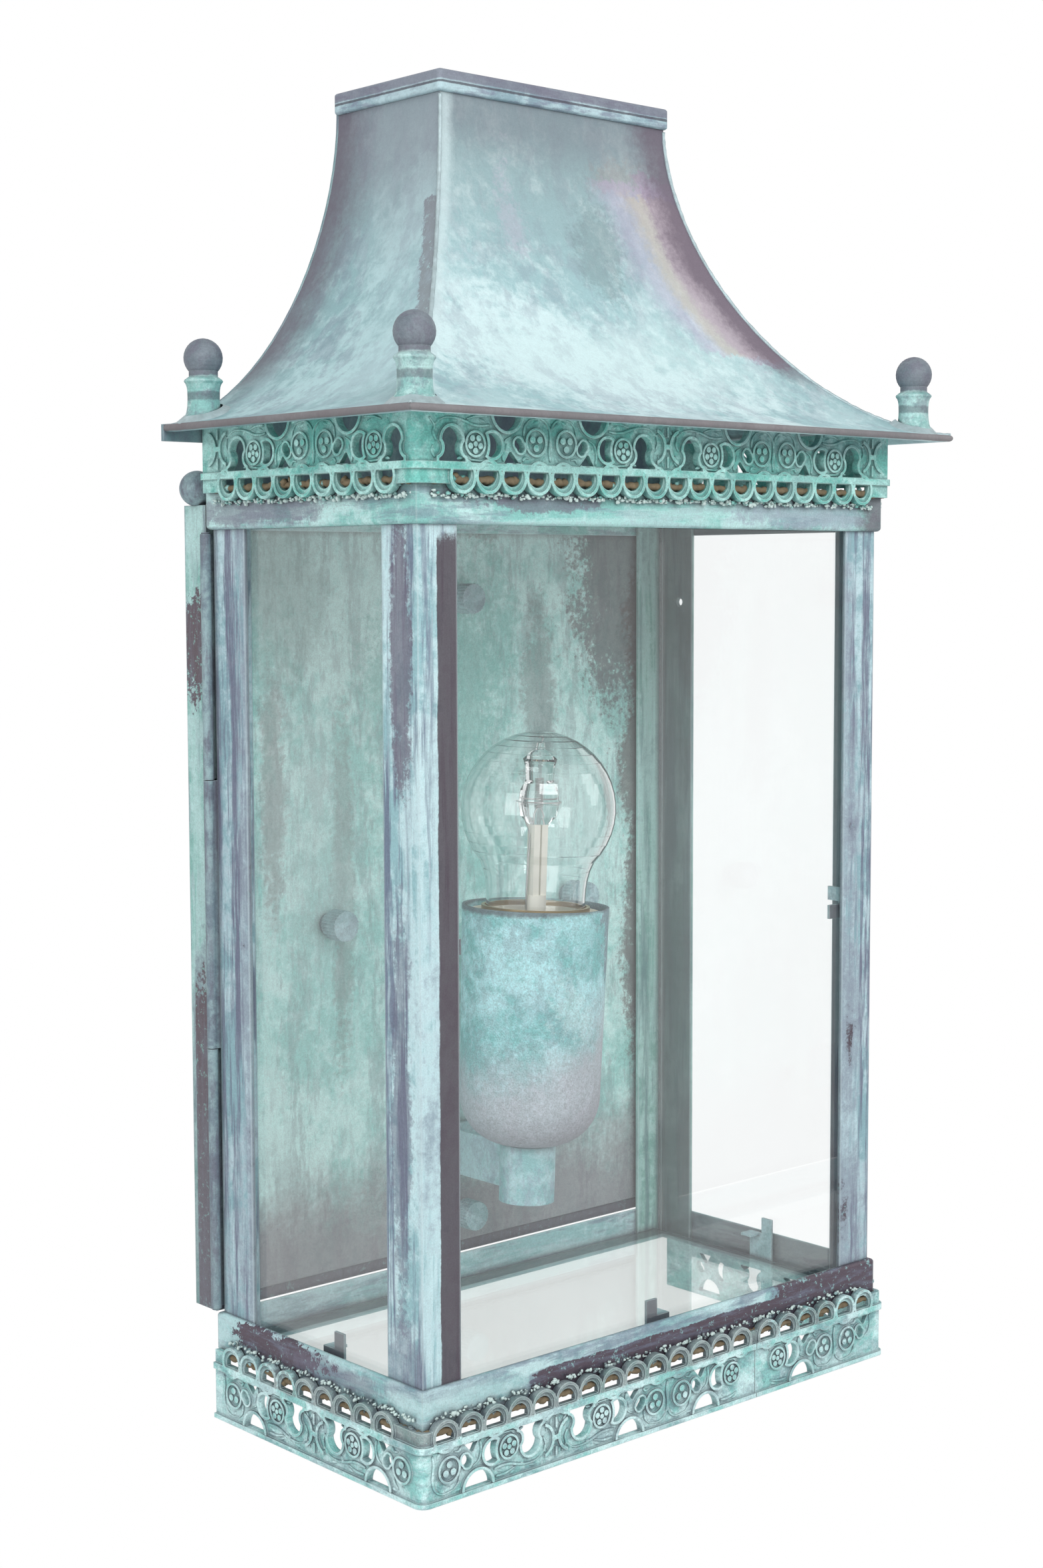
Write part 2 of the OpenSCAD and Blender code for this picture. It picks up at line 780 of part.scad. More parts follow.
// A straight run of the strip, centred on x = 0, its back on z = 0
module strip_run(half_run, centres) {
  run = half_run / strip_scale;
  mids = [for (c = centres) c / strip_scale];
  arch_x = repeats(run, mids[0] + arch_pitch / 2, arch_pitch, arch_pitch / 2);
  leaf_x = repeats(run, mids[0] + drawn_pitch / 2, drawn_pitch, 6);
  difference() {
    union() {
      linear_extrude(strip_t)
        scale(strip_scale)
          union() {
            translate([-run, 0]) square([2 * run, 26]);
            for (x = arch_x) translate([x, drawn_h - 5.8]) circle(r = 5.8, $fn = 24);
          }
      linear_extrude(strip_t + relief_h)
        scale(strip_scale)
          union() {
            translate([-run, 0]) square([2 * run, 1.7]);
            translate([-run, 18.9]) square([2 * run, 2.4]);
            for (x = arch_x) translate([x, drawn_h - 5.8]) ring(5.8, 1.1);
            for (x = leaf_x) translate([x, 0]) leaf_pair();
            for (c = mids) motif_relief(c, run);
          }
    }
    translate([0, 0, -1])
      linear_extrude(strip_t + relief_h + 2)
        scale(strip_scale)
          union() {
            for (c = mids) motif_openings(c, run, 0);
            for (x = arch_x) translate([x, 0]) arch_hole();
          }
  }
}

// Rounded corner of the strip, standing on z = 0 round the origin, from -X to -Y
module strip_corner() {
  k = strip_scale;
  rotate([0, 0, 180])
    rotate_extrude(angle = 90, $fn = fine)
      union() {
        translate([strip_bend, 0]) square([strip_t, 26 * k]);
        translate([strip_bend, 0]) square([strip_t + relief_h, 1.7 * k]);
        translate([strip_bend, 18.9 * k]) square([strip_t + relief_h, 2.4 * k]);
      }
}

// Runs of a strip that stands on z = 0 with its border down, placed on the rails' faces
strip_x = half_w + strip_gap;
strip_y = body_front - strip_gap;
side_half = (back_face - strip_play - strip_y - strip_bend) / 2;
side_mid = strip_y + strip_bend + side_half;
front_half = strip_x - strip_bend;

// Middles of the side motifs, counted along the run from its middle towards the front
function side_motifs(from_front) = [
  side_mid - body_front - from_front,
  side_mid - body_front - from_front + motif_pitch
];

module left_run(from_front) {
  translate([-strip_x, side_mid, 0])
    rotate(-90) rotate([90, 0, 0]) strip_run(side_half, side_motifs(from_front));
}

module right_run(from_front) {
  mirror([1, 0, 0]) left_run(from_front);
}

module front_run(x_low, x_high, centres) {
  mid = (x_low + x_high) / 2;
  translate([mid, strip_y, 0])
    rotate([90, 0, 0]) strip_run((x_high - x_low) / 2, [for (c = centres) c - mid]);
}

module left_corner() {
  translate([-front_half, strip_y + strip_bend, 0]) strip_corner();
}

module right_corner() {
  mirror([1, 0, 0]) left_corner();
}

module gallery() {
  centres = [gallery_shift - motif_pitch / 2, gallery_shift + motif_pitch / 2];
  color("#6fa9a3")
    translate([0, 0, lift(gallery_top)])
      mirror([0, 0, 1]) {
        left_run(gallery_side);
        left_corner();
        front_run(-front_half, front_half, centres);
        right_corner();
        right_run(gallery_side);
      }
}

module skirt_left() {
  color("#79b3ad")
    translate([0, 0, foot]) {
      left_run(skirt_side);
      left_corner();
      front_run(-front_half, skirt_seam, [skirt_shift, skirt_shift - motif_pitch, skirt_shift + motif_pitch]);
    }
}

module skirt_right() {
  color("#79b3ad")
    translate([0, 0, foot]) {
      front_run(skirt_seam + seam_gap, front_half, [skirt_seam + 46.3]);
      right_corner();
      right_run(skirt_side);
    }
}

// Folded tray: a panel on the wall, four sides and narrow lips at the front
module wall_box() {
  color("#8fa6a8")
    difference() {
      translate([-box_x, -box_d, -box_h / 2]) cube([2 * box_x, box_d, box_h]);
      translate([-box_x + box_t, -box_d + box_t, -box_h / 2 + box_t])
        cube([2 * (box_x - box_t), box_d - 2 * box_t, box_h - 2 * box_t]);
      translate([-box_x + lip_w, -box_d - 1, -box_h / 2 + lip_w])
        cube([2 * (box_x - lip_w), box_t + 2, box_h - 2 * lip_w]);
      for (x = [-1, 1], z = [-1, 1])
        translate([x * screw_span_x / 2, 1, z * screw_span_z / 2])
          rotate([90, 0, 0]) cylinder(d = screw_hole_d, h = box_t + 2, $fn = fine);
      translate([0, 1, entry_up]) rotate([90, 0, 0]) cylinder(d = entry_d, h = box_t + 2, $fn = fine);
    }
}

// Places of the four nuts, as a list of [x, z]
nut_places = [
  [0, box_h / 2 - nut_top_in], [0, nut_foot_in - box_h / 2], [-nut_span_x, nut_mid], [nut_span_x, nut_mid]
];

module back_plate() {
  low = -box_h / 2 + plate_end;
  color("#a8c4bf")
    difference() {
      translate([-plate_x, plate_front, low]) cube([2 * plate_x, plate_t, box_h - 2 * plate_end]);
      for (p = nut_places)
        translate([p[0], -box_d + 1, p[1]])
          rotate([90, 0, 0]) cylinder(r = stud_d / 2 + 3 * stud_play, h = plate_t + 2, $fn = fine);
      translate([lamp_x + wire_right, -box_d + 1, lift(spigot_up + arm_up) + arm_h / 2])
        rotate([90, 0, 0]) cylinder(d = wire_hole_d, h = plate_t + 2, $fn = fine);
    }
}

module plate_studs() {
  color("#b9b4a6")
    for (p = nut_places)
      translate([p[0], -box_t, p[1]])
        rotate([90, 0, 0]) {
          cylinder(d = stud_d, h = -stud_end - box_t, $fn = fine);
          cylinder(d = stud_d + 4, h = 1.2, $fn = fine);
        }
}

// Knurled nut: its collar on z = 0 and its head above
module thumb_nut() {
  difference() {
    union() {
      cylinder(d = nut_collar_d, h = nut_collar + eps, $fn = fine);
      translate([0, 0, nut_collar])
        linear_extrude(nut_head)
          polygon([for (k = [0 : 2 * knurls - 1])
            let (r = nut_d / 2 - (k % 2) * 0.35, a = 180 * k / knurls) [r * cos(a), r * sin(a)]]);
    }
    translate([0, 0, -1])
      cylinder(r = stud_d / 2 + stud_play, h = nut_collar + nut_head - nut_web + 1, $fn = fine);
  }
}

module thumb_nuts() {
  color("#9aa3ad")
    for (p = nut_places)
      translate([p[0], plate_front, p[1]]) rotate([90, 0, 0]) thumb_nut();
}

// Rubber ring in the cable entry, its groove round the panel's edge
module cable_grommet() {
  r = entry_d / 2;
  color("#2b2b2b")
    translate([0, 0, entry_up])
      rotate([90, 0, 0])
        rotate_extrude($fn = fine)
          polygon([
            [r - 3, 0], [r, 0], [r, box_t], [r + 2.5, box_t], [r + 2.5, box_t + 1.8],
            [r - 1, box_t + 3], [r - 3, box_t + 3]
          ]);
}

module terminal_block() {
  w = 30;
  h = 16;
  d = 9;
  color("#ece9e0")
    translate([30, -box_t - d, entry_up - h / 2])
      difference() {
        cube([w, d, h]);
        for (k = [0 : 2])
          translate([5 + k * 10, -1, h / 2]) rotate([-90, 0, 0]) cylinder(d = 4, h = d - 1, $fn = 24);
      }
}

module corner_ball() {
  r = corner_ball_d / 2;
  color("#6d6872")
    translate([box_x - 1.3, -box_d / 2, box_h / 2])
      difference() {
        translate([0, 0, r - 0.5]) sphere(r = r, $fn = fine);
        translate([-r, -r, -r]) cube([2 * r, 2 * r, r]);
      }
}

module corner_ball_right() {
  corner_ball();
}

module corner_ball_left() {
  mirror([1, 0, 0]) corner_ball();
}

// One knuckle of the hinge between two heights, with a leaf of width w whose outer face is at y
module knuckle(low, high, w, y) {
  difference() {
    union() {
      translate([hinge_x, hinge_y, lift(low)]) cylinder(d = knuckle_d, h = high - low, $fn = fine);
      translate([hinge_x, y, lift(low)]) cube([w, leaf_t, high - low]);
    }
    translate([hinge_x, hinge_y, lift(low) - 1]) cylinder(r = bore_r, h = high - low + 2, $fn = fine);
  }
}

module hinge_leaf_wall() {
  w = -hinge_x - plate_x - leaf_gap;
  color("#8c8494") {
    knuckle(hinge_low, knuckle_up - knuckle_gap, w, -box_d - leaf_t);
    knuckle(knuckle_up + knuckle_len + knuckle_gap, hinge_top, w, -box_d - leaf_t);
  }
}

module hinge_leaf_body() {
  color("#7f8b93") knuckle(knuckle_up, knuckle_up + knuckle_len, leaf_w, post_back_y);
}

module hinge_pin() {
  color("#a58f63")
    translate([hinge_x, hinge_y, 0]) {
      translate([0, 0, lift(hinge_low)]) cylinder(d = pin_d, h = hinge_top - hinge_low, $fn = fine);
      translate([0, 0, lift(hinge_low) - pin_head]) cylinder(d = knuckle_d - 0.8, h = pin_head, $fn = fine);
      translate([0, 0, lift(hinge_top)]) cylinder(d = knuckle_d - 0.8, h = pin_head, $fn = fine);
    }
}

// Frame of the lamp: its origin is the middle of the spigot's lower end
module lamp_frame() {
  translate([lamp_x, lamp_y, lift(spigot_up)]) rotate([0, lamp_lean, 0]) children();
}

// Sheet arm on edge, with a foot folded against the back plate
module lamp_arm() {
  z = lift(spigot_up + arm_up);
  color("#8fb0ab")
    difference() {
      union() {
        translate([lamp_x - arm_t / 2, lamp_y, z]) cube([arm_t, plate_front - lamp_y, arm_h]);
        translate([lamp_x - arm_t / 2, plate_front - arm_t, z]) cube([arm_foot, arm_t, arm_h]);
      }
      lamp_frame() translate([0, 0, -5]) cylinder(d = spigot_d, h = spigot_h + 10, $fn = fine);
    }
}

module lamp_spigot() {
  color("#9fc0bd")
    lamp_frame()
      difference() {
        cylinder(d = spigot_d, h = spigot_h, $fn = fine);
        translate([0, 0, -1]) cylinder(d = spigot_d - 2 * spigot_t, h = spigot_h - spigot_t + 1, $fn = fine);
        cylinder(d = nipple_d + 2 * stud_play, h = spigot_h + 1, $fn = fine);
      }
}

// Outline of the cup's side at a wall depth w inside it, from the bottom to the rim
function cup_side(w) = let (r = cup_round - w, base = cup_d / 2 - cup_taper - cup_round) concat(
  [for (a = [-90 : 9 : 0]) [base + r * cos(a), cup_round + r * sin(a)]],
  [[cup_d / 2 - w, cup_h]]
);

module lamp_cup() {
  hole_r = nipple_d / 2 + stud_play;
  inner = cup_side(cup_t);
  color("#7fb9b6")
    lamp_frame()
      translate([0, 0, cup_low])
        rotate_extrude($fn = 64)
          polygon(concat(
            [[hole_r, 0]], cup_side(0),
            [for (k = [len(inner) - 1 : -1 : 0]) inner[k]], [[hole_r, cup_t]]
          ));
}

module holder_nipple() {
  color("#a58f63")
    lamp_frame()
      difference() {
        translate([0, 0, spigot_h - 6]) cylinder(d = nipple_d, h = holder_low - spigot_h + 6, $fn = fine);
        translate([0, 0, 0]) cylinder(d = nipple_d - 2.4, h = holder_low + 1, $fn = fine);
      }
}

module lampholder() {
  color("#e8e2d2")
    lamp_frame()
      translate([0, 0, holder_low])
        difference() {
          union() {
            cylinder(d = holder_d, h = holder_h, $fn = fine);
            translate([0, 0, holder_h - flange_h]) cylinder(d = flange_d, h = flange_h, $fn = fine);
          }
          translate([0, 0, cap_low - holder_low])
            cylinder(r = screw_cap_d / 2 + 0.3, h = holder_h, $fn = fine);
          translate([0, 0, bulb_low - holder_low - 1])
            cylinder(d = ring_bore, h = holder_h, $fn = fine);
        }
}

module holder_ring() {
  color("#b59a5e")
    lamp_frame()
      translate([0, 0, holder_low + holder_h])
        difference() {
          cylinder(d = ring_d, h = ring_h, $fn = fine);
          translate([0, 0, -1]) cylinder(d = ring_bore, h = ring_h + 2, $fn = fine);
        }
}

// Outline of the bulb's glass at a depth w inside it, from the neck to the crown
function bulb_side(w) = let (
    r = bulb_d / 2, z = bulb_h - r, low_r = screw_cap_d / 2 - 0.4, neck_r = bulb_neck_d / 2,
    blend = 42, flare = r * cos(blend) - neck_r, zb = z - r * sin(blend)
  ) concat(
    [for (t = [0 : 0.125 : 1]) [low_r - w + (neck_r - low_r) * sin(90 * t), bulb_neck_h * t]],
    [for (t = [0.2 : 0.2 : 0.8])
      [neck_r - w + flare * pow(t, 3), bulb_neck_h + (zb - bulb_neck_h) * t]],
    [for (a = [-blend : 8 : 86]) [(r - w) * cos(a), z + (r - w) * sin(a)]],
    [[0, bulb_h - w]]
  );

module bulb_glass() {
  inner = bulb_side(bulb_t);
  color("#dfe8e6", 0.35)
    lamp_frame()
      translate([0, 0, bulb_low])
        rotate_extrude($fn = fine)
          polygon(concat(bulb_side(0), [for (k = [len(inner) - 1 : -1 : 0]) inner[k]]));
}

module bulb_cap() {
  color("#b7b9bb")
    lamp_frame()
      translate([0, 0, cap_low]) {
        cylinder(d1 = 10, d2 = screw_cap_d - 2, h = 4, $fn = fine);
        translate([0, 0, 4]) cylinder(d = screw_cap_d, h = screw_cap_h - 4, $fn = fine);
      }
}

// Glass stem with two flat support strips, standing on the screw cap
module bulb_stem() {
  foot_h = 1.25 * bulb_neck_h;
  w = 0.19 * capsule_d;
  color("#e9dfc0")
    lamp_frame()
      translate([0, 0, bulb_low]) {
        cylinder(d = capsule_d / 2, h = foot_h, $fn = 24);
        for (m = [-1, 1])
          translate([m * capsule_d / 8 - w / 2, -capsule_d / 8, foot_h])
            cube([w, capsule_d / 4, capsule_up - foot_h]);
      }
}

module bulb_capsule() {
  k = capsule_d / 16;
  color("#dfe8e6", 0.5)
    lamp_frame()
      translate([0, 0, bulb_low + capsule_up])
        rotate_extrude($fn = 32)
          polygon(k * [
            [0, 0], [4, 0], [7, 3], [8, 8], [7.4, 13], [5.4, 17], [5.8, 22],
            [6.6, 25], [4, 27.5], [2, 28.5], [1.5, 31], [0, 31.4]
          ]);
}

wall_box();
back_plate();
plate_studs();
thumb_nuts();
cable_grommet();
terminal_block();
corner_ball_left();
corner_ball_right();
hinge_leaf_wall();
hinge_pin();
hinge_leaf_body();
lamp_arm();
lamp_spigot();
lamp_cup();
holder_nipple();
lampholder();
holder_ring();
bulb_glass();
bulb_cap();
bulb_stem();
bulb_capsule();
post_front_left();
post_front_right();
post_rear_left();
post_rear_right();
base_rail();
top_rail();
pane_front();
pane_left();
pane_right();
pane_floor();
clips_front();
clips_left();
clips_right();
gallery();
skirt_left();
skirt_right();
roof_front();
roof_left();
roof_right();
roof_back();
roof_cap();
finial_front_left();
finial_front_right();
finial_rear_left();
finial_rear_right();
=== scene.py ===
# %% [markdown]
# # A verdigris wall lantern
# The metal parts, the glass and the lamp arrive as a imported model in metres. The wall is the plane
# y = 0, the lantern faces -Y, and z = 0 is the middle of the wall box. This lesson gives every piece
# its finish and adds the small castings, the solder and the lamp's wires.

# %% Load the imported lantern
import math
import random

import bpy
from mathutils import Matrix, Vector


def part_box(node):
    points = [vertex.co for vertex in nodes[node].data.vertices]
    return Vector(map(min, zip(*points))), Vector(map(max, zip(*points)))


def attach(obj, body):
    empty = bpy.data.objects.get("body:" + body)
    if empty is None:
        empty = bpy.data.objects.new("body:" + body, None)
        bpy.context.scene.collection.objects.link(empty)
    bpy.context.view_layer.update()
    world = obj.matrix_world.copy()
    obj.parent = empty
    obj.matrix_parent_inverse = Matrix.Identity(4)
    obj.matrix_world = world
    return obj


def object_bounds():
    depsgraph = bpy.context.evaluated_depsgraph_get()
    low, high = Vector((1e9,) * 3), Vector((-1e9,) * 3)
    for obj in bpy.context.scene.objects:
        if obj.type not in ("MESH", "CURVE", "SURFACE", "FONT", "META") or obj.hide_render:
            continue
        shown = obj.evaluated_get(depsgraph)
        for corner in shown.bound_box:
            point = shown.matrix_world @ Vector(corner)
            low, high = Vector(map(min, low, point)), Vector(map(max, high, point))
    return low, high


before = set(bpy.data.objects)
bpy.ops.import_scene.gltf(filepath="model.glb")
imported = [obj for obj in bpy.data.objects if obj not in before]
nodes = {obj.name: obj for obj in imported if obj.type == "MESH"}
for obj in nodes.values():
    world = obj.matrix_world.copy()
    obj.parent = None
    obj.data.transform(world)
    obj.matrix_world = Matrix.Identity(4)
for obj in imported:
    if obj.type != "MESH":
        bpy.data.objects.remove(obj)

cad_low, cad_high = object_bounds()
print("nodes:", len(nodes), "size:", [round(v, 4) for v in cad_high - cad_low])

# %% [markdown]
# ## Placing nodes
# The surround and the finishes are short chains of nodes. They could be placed by hand in the shader
# editor. Three helpers that place a node, feed its sockets by name or number, and give back its output
# let a chain read like a formula instead.

# %% Node helpers
def feed(tree, socket, value):
    """Links a socket to another, or sets it to a plain value."""
    if isinstance(value, bpy.types.NodeSocket):
        tree.links.new(value, socket)
    else:
        socket.default_value = value


def put(tree, kind, sockets, **settings):
    """Adds a node with its settings, feeds its sockets, and gives the node back."""
    node = tree.nodes.new("ShaderNode" + kind)
    for name, value in settings.items():
        setattr(node, name, value)
    for key, value in sockets.items():
        feed(tree, node.inputs[key], value)
    return node


def calc(tree, operation, a, b=0.0):
    """One step of arithmetic."""
    return put(tree, "Math", {0: a, 1: b}, operation=operation).outputs[0]


def tone(r, g, b):
    """A screen colour, 0 to 255, as the linear colour that Blender works with."""
    return tuple(((c / 255 + 0.055) / 1.055) ** 2.4 if c > 10 else c / 3294.6 for c in (r, g, b)) + (1.0,)


print("middle grey in linear light:", round(tone(128, 128, 128)[0], 3))

# %% [markdown]
# ## Stage
# A lantern on a white page needs a pale floor, soft lamps and a bright surround for its glass to
# mirror. More light would bleach the metal, so the surround is plain white only for the camera, for
# reflections and for what shows through glass, and lights the metal at a plain level.

# %% Floor and surround
def white_to_the_eye(tree, lit_shader, out_node):
    """Shows plain white to the camera, to reflections and through glass, and lit_shader to the rest."""
    path = tree.nodes.new("ShaderNodeLightPath").outputs
    glow_kind = "Background" if lit_shader.node.type == "BACKGROUND" else "Emission"
    glow = put(tree, glow_kind, {0: (1, 1, 1, 1), 1: 1.0}).outputs[0]
    seen = calc(tree, "MAXIMUM", path["Is Camera Ray"], path["Is Glossy Ray"])
    seen = calc(tree, "MAXIMUM", seen, path["Is Transmission Ray"])
    mix = put(tree, "MixShader", {0: seen, 1: lit_shader, 2: glow})
    feed(tree, out_node.inputs[0], mix.outputs[0])


world = bpy.data.worlds.new("studio")
bpy.context.scene.world = world
world.use_nodes = True
ambient = world.node_tree.nodes["Background"]
ambient.inputs[0].default_value = (0.96, 0.98, 1.0, 1)
ambient.inputs[1].default_value = 0.55
white_to_the_eye(world.node_tree, ambient.outputs[0], world.node_tree.nodes["World Output"])

floor_half, floor_z = 4, cad_low.z - 0.16
floor_mesh = bpy.data.meshes.new("floor")
corners = [(x * floor_half, y * floor_half, floor_z) for x, y in ((-1, -1), (1, -1), (1, 1), (-1, 1))]
floor_mesh.from_pydata(corners, [], [(0, 1, 2, 3)])
floor = bpy.data.objects.new("floor", floor_mesh)
bpy.context.scene.collection.objects.link(floor)
floor_paint = bpy.data.materials.new("pale floor")
floor_paint.use_nodes = True
paint = floor_paint.node_tree.nodes["Principled BSDF"]
paint.inputs["Base Color"].default_value = (0.9, 0.9, 0.9, 1)
paint.inputs["Roughness"].default_value = 0.8
white_to_the_eye(floor_paint.node_tree, paint.outputs[0], floor_paint.node_tree.nodes["Material Output"])
floor_mesh.materials.append(floor_paint)
print("floor at", round(floor_z, 3))

# %% Lamps
def soft_lamp(name, place, watts, size=1.2):
    """A large square lamp that looks at the middle of the lantern."""
    lamp = bpy.data.lights.new(name, "AREA")
    lamp.size = size
    lamp.energy = watts
    obj = bpy.data.objects.new(name, lamp)
    obj.location = place
    aim = (cad_low + cad_high) / 2 - Vector(place)
    obj.rotation_mode = "QUATERNION"
    obj.rotation_quaternion = aim.to_track_quat("-Z", "Y")
    bpy.context.scene.collection.objects.link(obj)


soft_lamp("key lamp", (-0.9, -2.0, 1.5), 31)
soft_lamp("left lamp", (-2.2, -0.5, 0.5), 13)
soft_lamp("right lamp", (1.9, -1.3, 0.9), 8)
bpy.context.scene.view_settings.view_transform = "Standard"
print("lamps:", len(bpy.data.lights))

# %% [markdown]
# ## Camera
# The view was worked out from the lantern's straight edges: about 42 degrees round to the left and
# 5 degrees up, 0.9 m away, through a 54 mm lens. A camera that tracks a point would lose the slight
# roll, so its three axes are built from the angles.

# %% Camera
view_azimuth, view_elevation, view_roll = (math.radians(a) for a in (-41.815, 4.956, -0.171))
back = Vector((math.sin(view_azimuth) * math.cos(view_elevation),
               -math.cos(view_azimuth) * math.cos(view_elevation), math.sin(view_elevation)))
right = Vector((math.cos(view_azimuth), math.sin(view_azimuth), 0))
up = back.cross(right)
tilted_right = right * math.cos(view_roll) + up * math.sin(view_roll)
tilted_up = up * math.cos(view_roll) - right * math.sin(view_roll)
camera_data = bpy.data.cameras.new("camera")
camera_data.sensor_width = 36
camera_data.lens = 53.967
camera = bpy.data.objects.new("camera", camera_data)
camera.rotation_mode = "QUATERNION"
camera.rotation_quaternion = Matrix((tilted_right, tilted_up, back)).transposed().to_quaternion()
camera.location = (-0.6085, -0.7360, 0.1232)
bpy.context.scene.collection.objects.link(camera)
bpy.context.scene.camera = camera
print("camera at", camera.location[:])

# %% [markdown]
# ## Noise, ramps and groups
# Every finish mixes colours by noises that are cut to soft or crisp edges. An effect that several
# finishes share becomes a node group with named sockets, so it is built once and each material gives
# it its own values.

# %% Chain helpers
def plus(tree, *terms):
    """A sum of values."""
    total = terms[0]
    for term in terms[1:]:
        total = calc(tree, "ADD", total, term)
    return total


def times(tree, a, b):
    return calc(tree, "MULTIPLY", a, b)


def less(tree, a, b):
    return calc(tree, "SUBTRACT", a, b)


def about_half(tree, value, amount):
    """A noise that swings round zero by amount."""
    return times(tree, less(tree, value, 0.5), amount)


def vector(tree, operation, a, b=(0, 0, 0), out="Vector"):
    """One step of vector arithmetic."""
    return put(tree, "VectorMath", {0: a, 1: b}, operation=operation).outputs[out]


def blend_colours(tree, amount, a, b, mode="MIX"):
    return put(tree, "Mix", {0: amount, 6: a, 7: b}, data_type="RGBA", blend_type=mode).outputs[2]


def noise(tree, where, scale, detail, roughness=0.6, distortion=0.0):
    sockets = {"Vector": where, "Scale": scale, "Detail": detail, "Roughness": roughness,
               "Distortion": distortion}
    return put(tree, "TexNoise", sockets).outputs["Fac"]


def ramp_between(tree, value, low, high):
    """0 below low, 1 above high, and smooth in between."""
    sockets = {"Value": value, "From Min": low, "From Max": high}
    return put(tree, "MapRange", sockets, interpolation_type="SMOOTHSTEP").outputs[0]


def places(tree, seed):
    """A point of the object in metres, and the same point moved by a seed, so that no two finishes match."""
    place = tree.nodes.new("ShaderNodeTexCoord").outputs["Object"]
    return place, vector(tree, "ADD", place, put(tree, "CombineXYZ", {0: seed, 1: seed, 2: seed}).outputs[0])


print("a noise of scale 1000 has clouds of about", 1000 / 1000, "mm, as places are in metres")

# %% Group helpers
def new_group(name, inputs, outputs):
    """A node group with named sockets; gives back its tree, its input node and its output node."""
    tree = bpy.data.node_groups.new(name, "ShaderNodeTree")
    for label, kind, value in inputs:
        socket = tree.interface.new_socket(label, in_out="INPUT", socket_type="NodeSocket" + kind)
        socket.default_value = value
    for label, kind in outputs:
        tree.interface.new_socket(label, in_out="OUTPUT", socket_type="NodeSocket" + kind)
    return tree, tree.nodes.new("NodeGroupInput").outputs, tree.nodes.new("NodeGroupOutput").inputs


def use_group(tree, group, **values):
    """Places a group in a material. A socket's name has spaces where the keyword has underscores."""
    node = tree.nodes.new("ShaderNodeGroup")
    node.node_tree = group
    for name, value in values.items():
        feed(tree, node.inputs[name.replace("_", " ")], value)
    return node


print("node groups so far:", len(bpy.data.node_groups))

# %% [markdown]
# ## Patina
# Brass that was treated with salts grows a pale blue-green bloom. It lies in clouds and in runs that
# follow the brush, it is granular, and where it is thin the brown-purple brass shows with a crisp
# edge. A painted picture of it would fit one piece only, so one group makes it from noises in metres,
# and each material gives that its own colours and amounts.

# %% Patina: sockets and noises
patina, given, result = new_group("patina", [
    ("Pale", "Color", tone(178, 208, 208)), ("Green", "Color", tone(120, 172, 168)),
    ("Shade", "Color", tone(128, 132, 152)), ("Dark", "Color", tone(82, 68, 78)),
    ("Stretch", "Vector", (1.0, 1.0, 1.0)), ("Cloud scale", "Float", 22.0),
    ("Streak", "Float", 0.5), ("Bare", "Float", 0.2), ("Extra bare", "Float", 0.0),
    ("Grain", "Float", 0.5), ("Seed", "Float", 0.0),
], [("Color", "Color"), ("Grain", "Color"), ("Roughness", "Float"), ("Height", "Float")])

place = places(patina, given["Seed"])[1]
along = vector(patina, "MULTIPLY", place, given["Stretch"])
clouds = noise(patina, place, given["Cloud scale"], 6.0, 0.66, 0.5)
mottle = noise(patina, place, 170.0, 5.0, 0.7, 0.3)
fine = noise(patina, place, 560.0, 3.0, 0.75)
speck = noise(patina, place, 1700.0, 2.0, 0.7)
wide_runs = noise(patina, along, 46.0, 5.0, 0.62, 0.6)
runs = noise(patina, along, 160.0, 6.0, 0.66, 0.3)
fine_runs = noise(patina, along, 520.0, 4.0, 0.7)
print("patina inputs:", len(given) - 1)

# %% Patina: clouds and brushed runs
cloudy = plus(patina, clouds, about_half(patina, mottle, 0.5))
colour = blend_colours(patina, ramp_between(patina, cloudy, 0.40, 0.60), given["Green"], given["Pale"])
brushed = plus(patina, runs, about_half(patina, fine_runs, 0.5))
brushed = times(patina, ramp_between(patina, brushed, 0.45, 0.62), given["Streak"])
colour = blend_colours(patina, brushed, colour, given["Shade"])
washed = plus(patina, wide_runs, about_half(patina, fine_runs, 0.4))
washed = times(patina, ramp_between(patina, washed, 0.50, 0.64), given["Streak"])
colour = blend_colours(patina, washed, colour, given["Pale"])
print("nodes of clouds and runs:", len(patina.nodes))

# %% Patina: bare metal
worn = plus(patina, times(patina, wide_runs, 0.6), times(patina, clouds, 0.4),
            about_half(patina, mottle, 0.25), about_half(patina, fine, 0.16), given["Extra bare"])
limit = less(patina, 0.86, times(patina, given["Bare"], 0.5))
bare = ramp_between(patina, worn, limit, plus(patina, limit, 0.05))
halo = ramp_between(patina, worn, less(patina, limit, 0.14), limit)
colour = blend_colours(patina, times(patina, halo, 0.6), colour, given["Shade"])
streaks = times(patina, ramp_between(patina, fine_runs, 0.45, 0.7), 0.55)
metal = blend_colours(patina, streaks, given["Dark"], given["Shade"])
green_dust = ramp_between(patina, plus(patina, fine, about_half(patina, mottle, 0.7)), 0.60, 0.68)
metal = blend_colours(patina, times(patina, green_dust, 0.7), metal, given["Green"])
feed(patina, result["Color"], blend_colours(patina, bare, colour, metal))
print("nodes with bare metal:", len(patina.nodes))

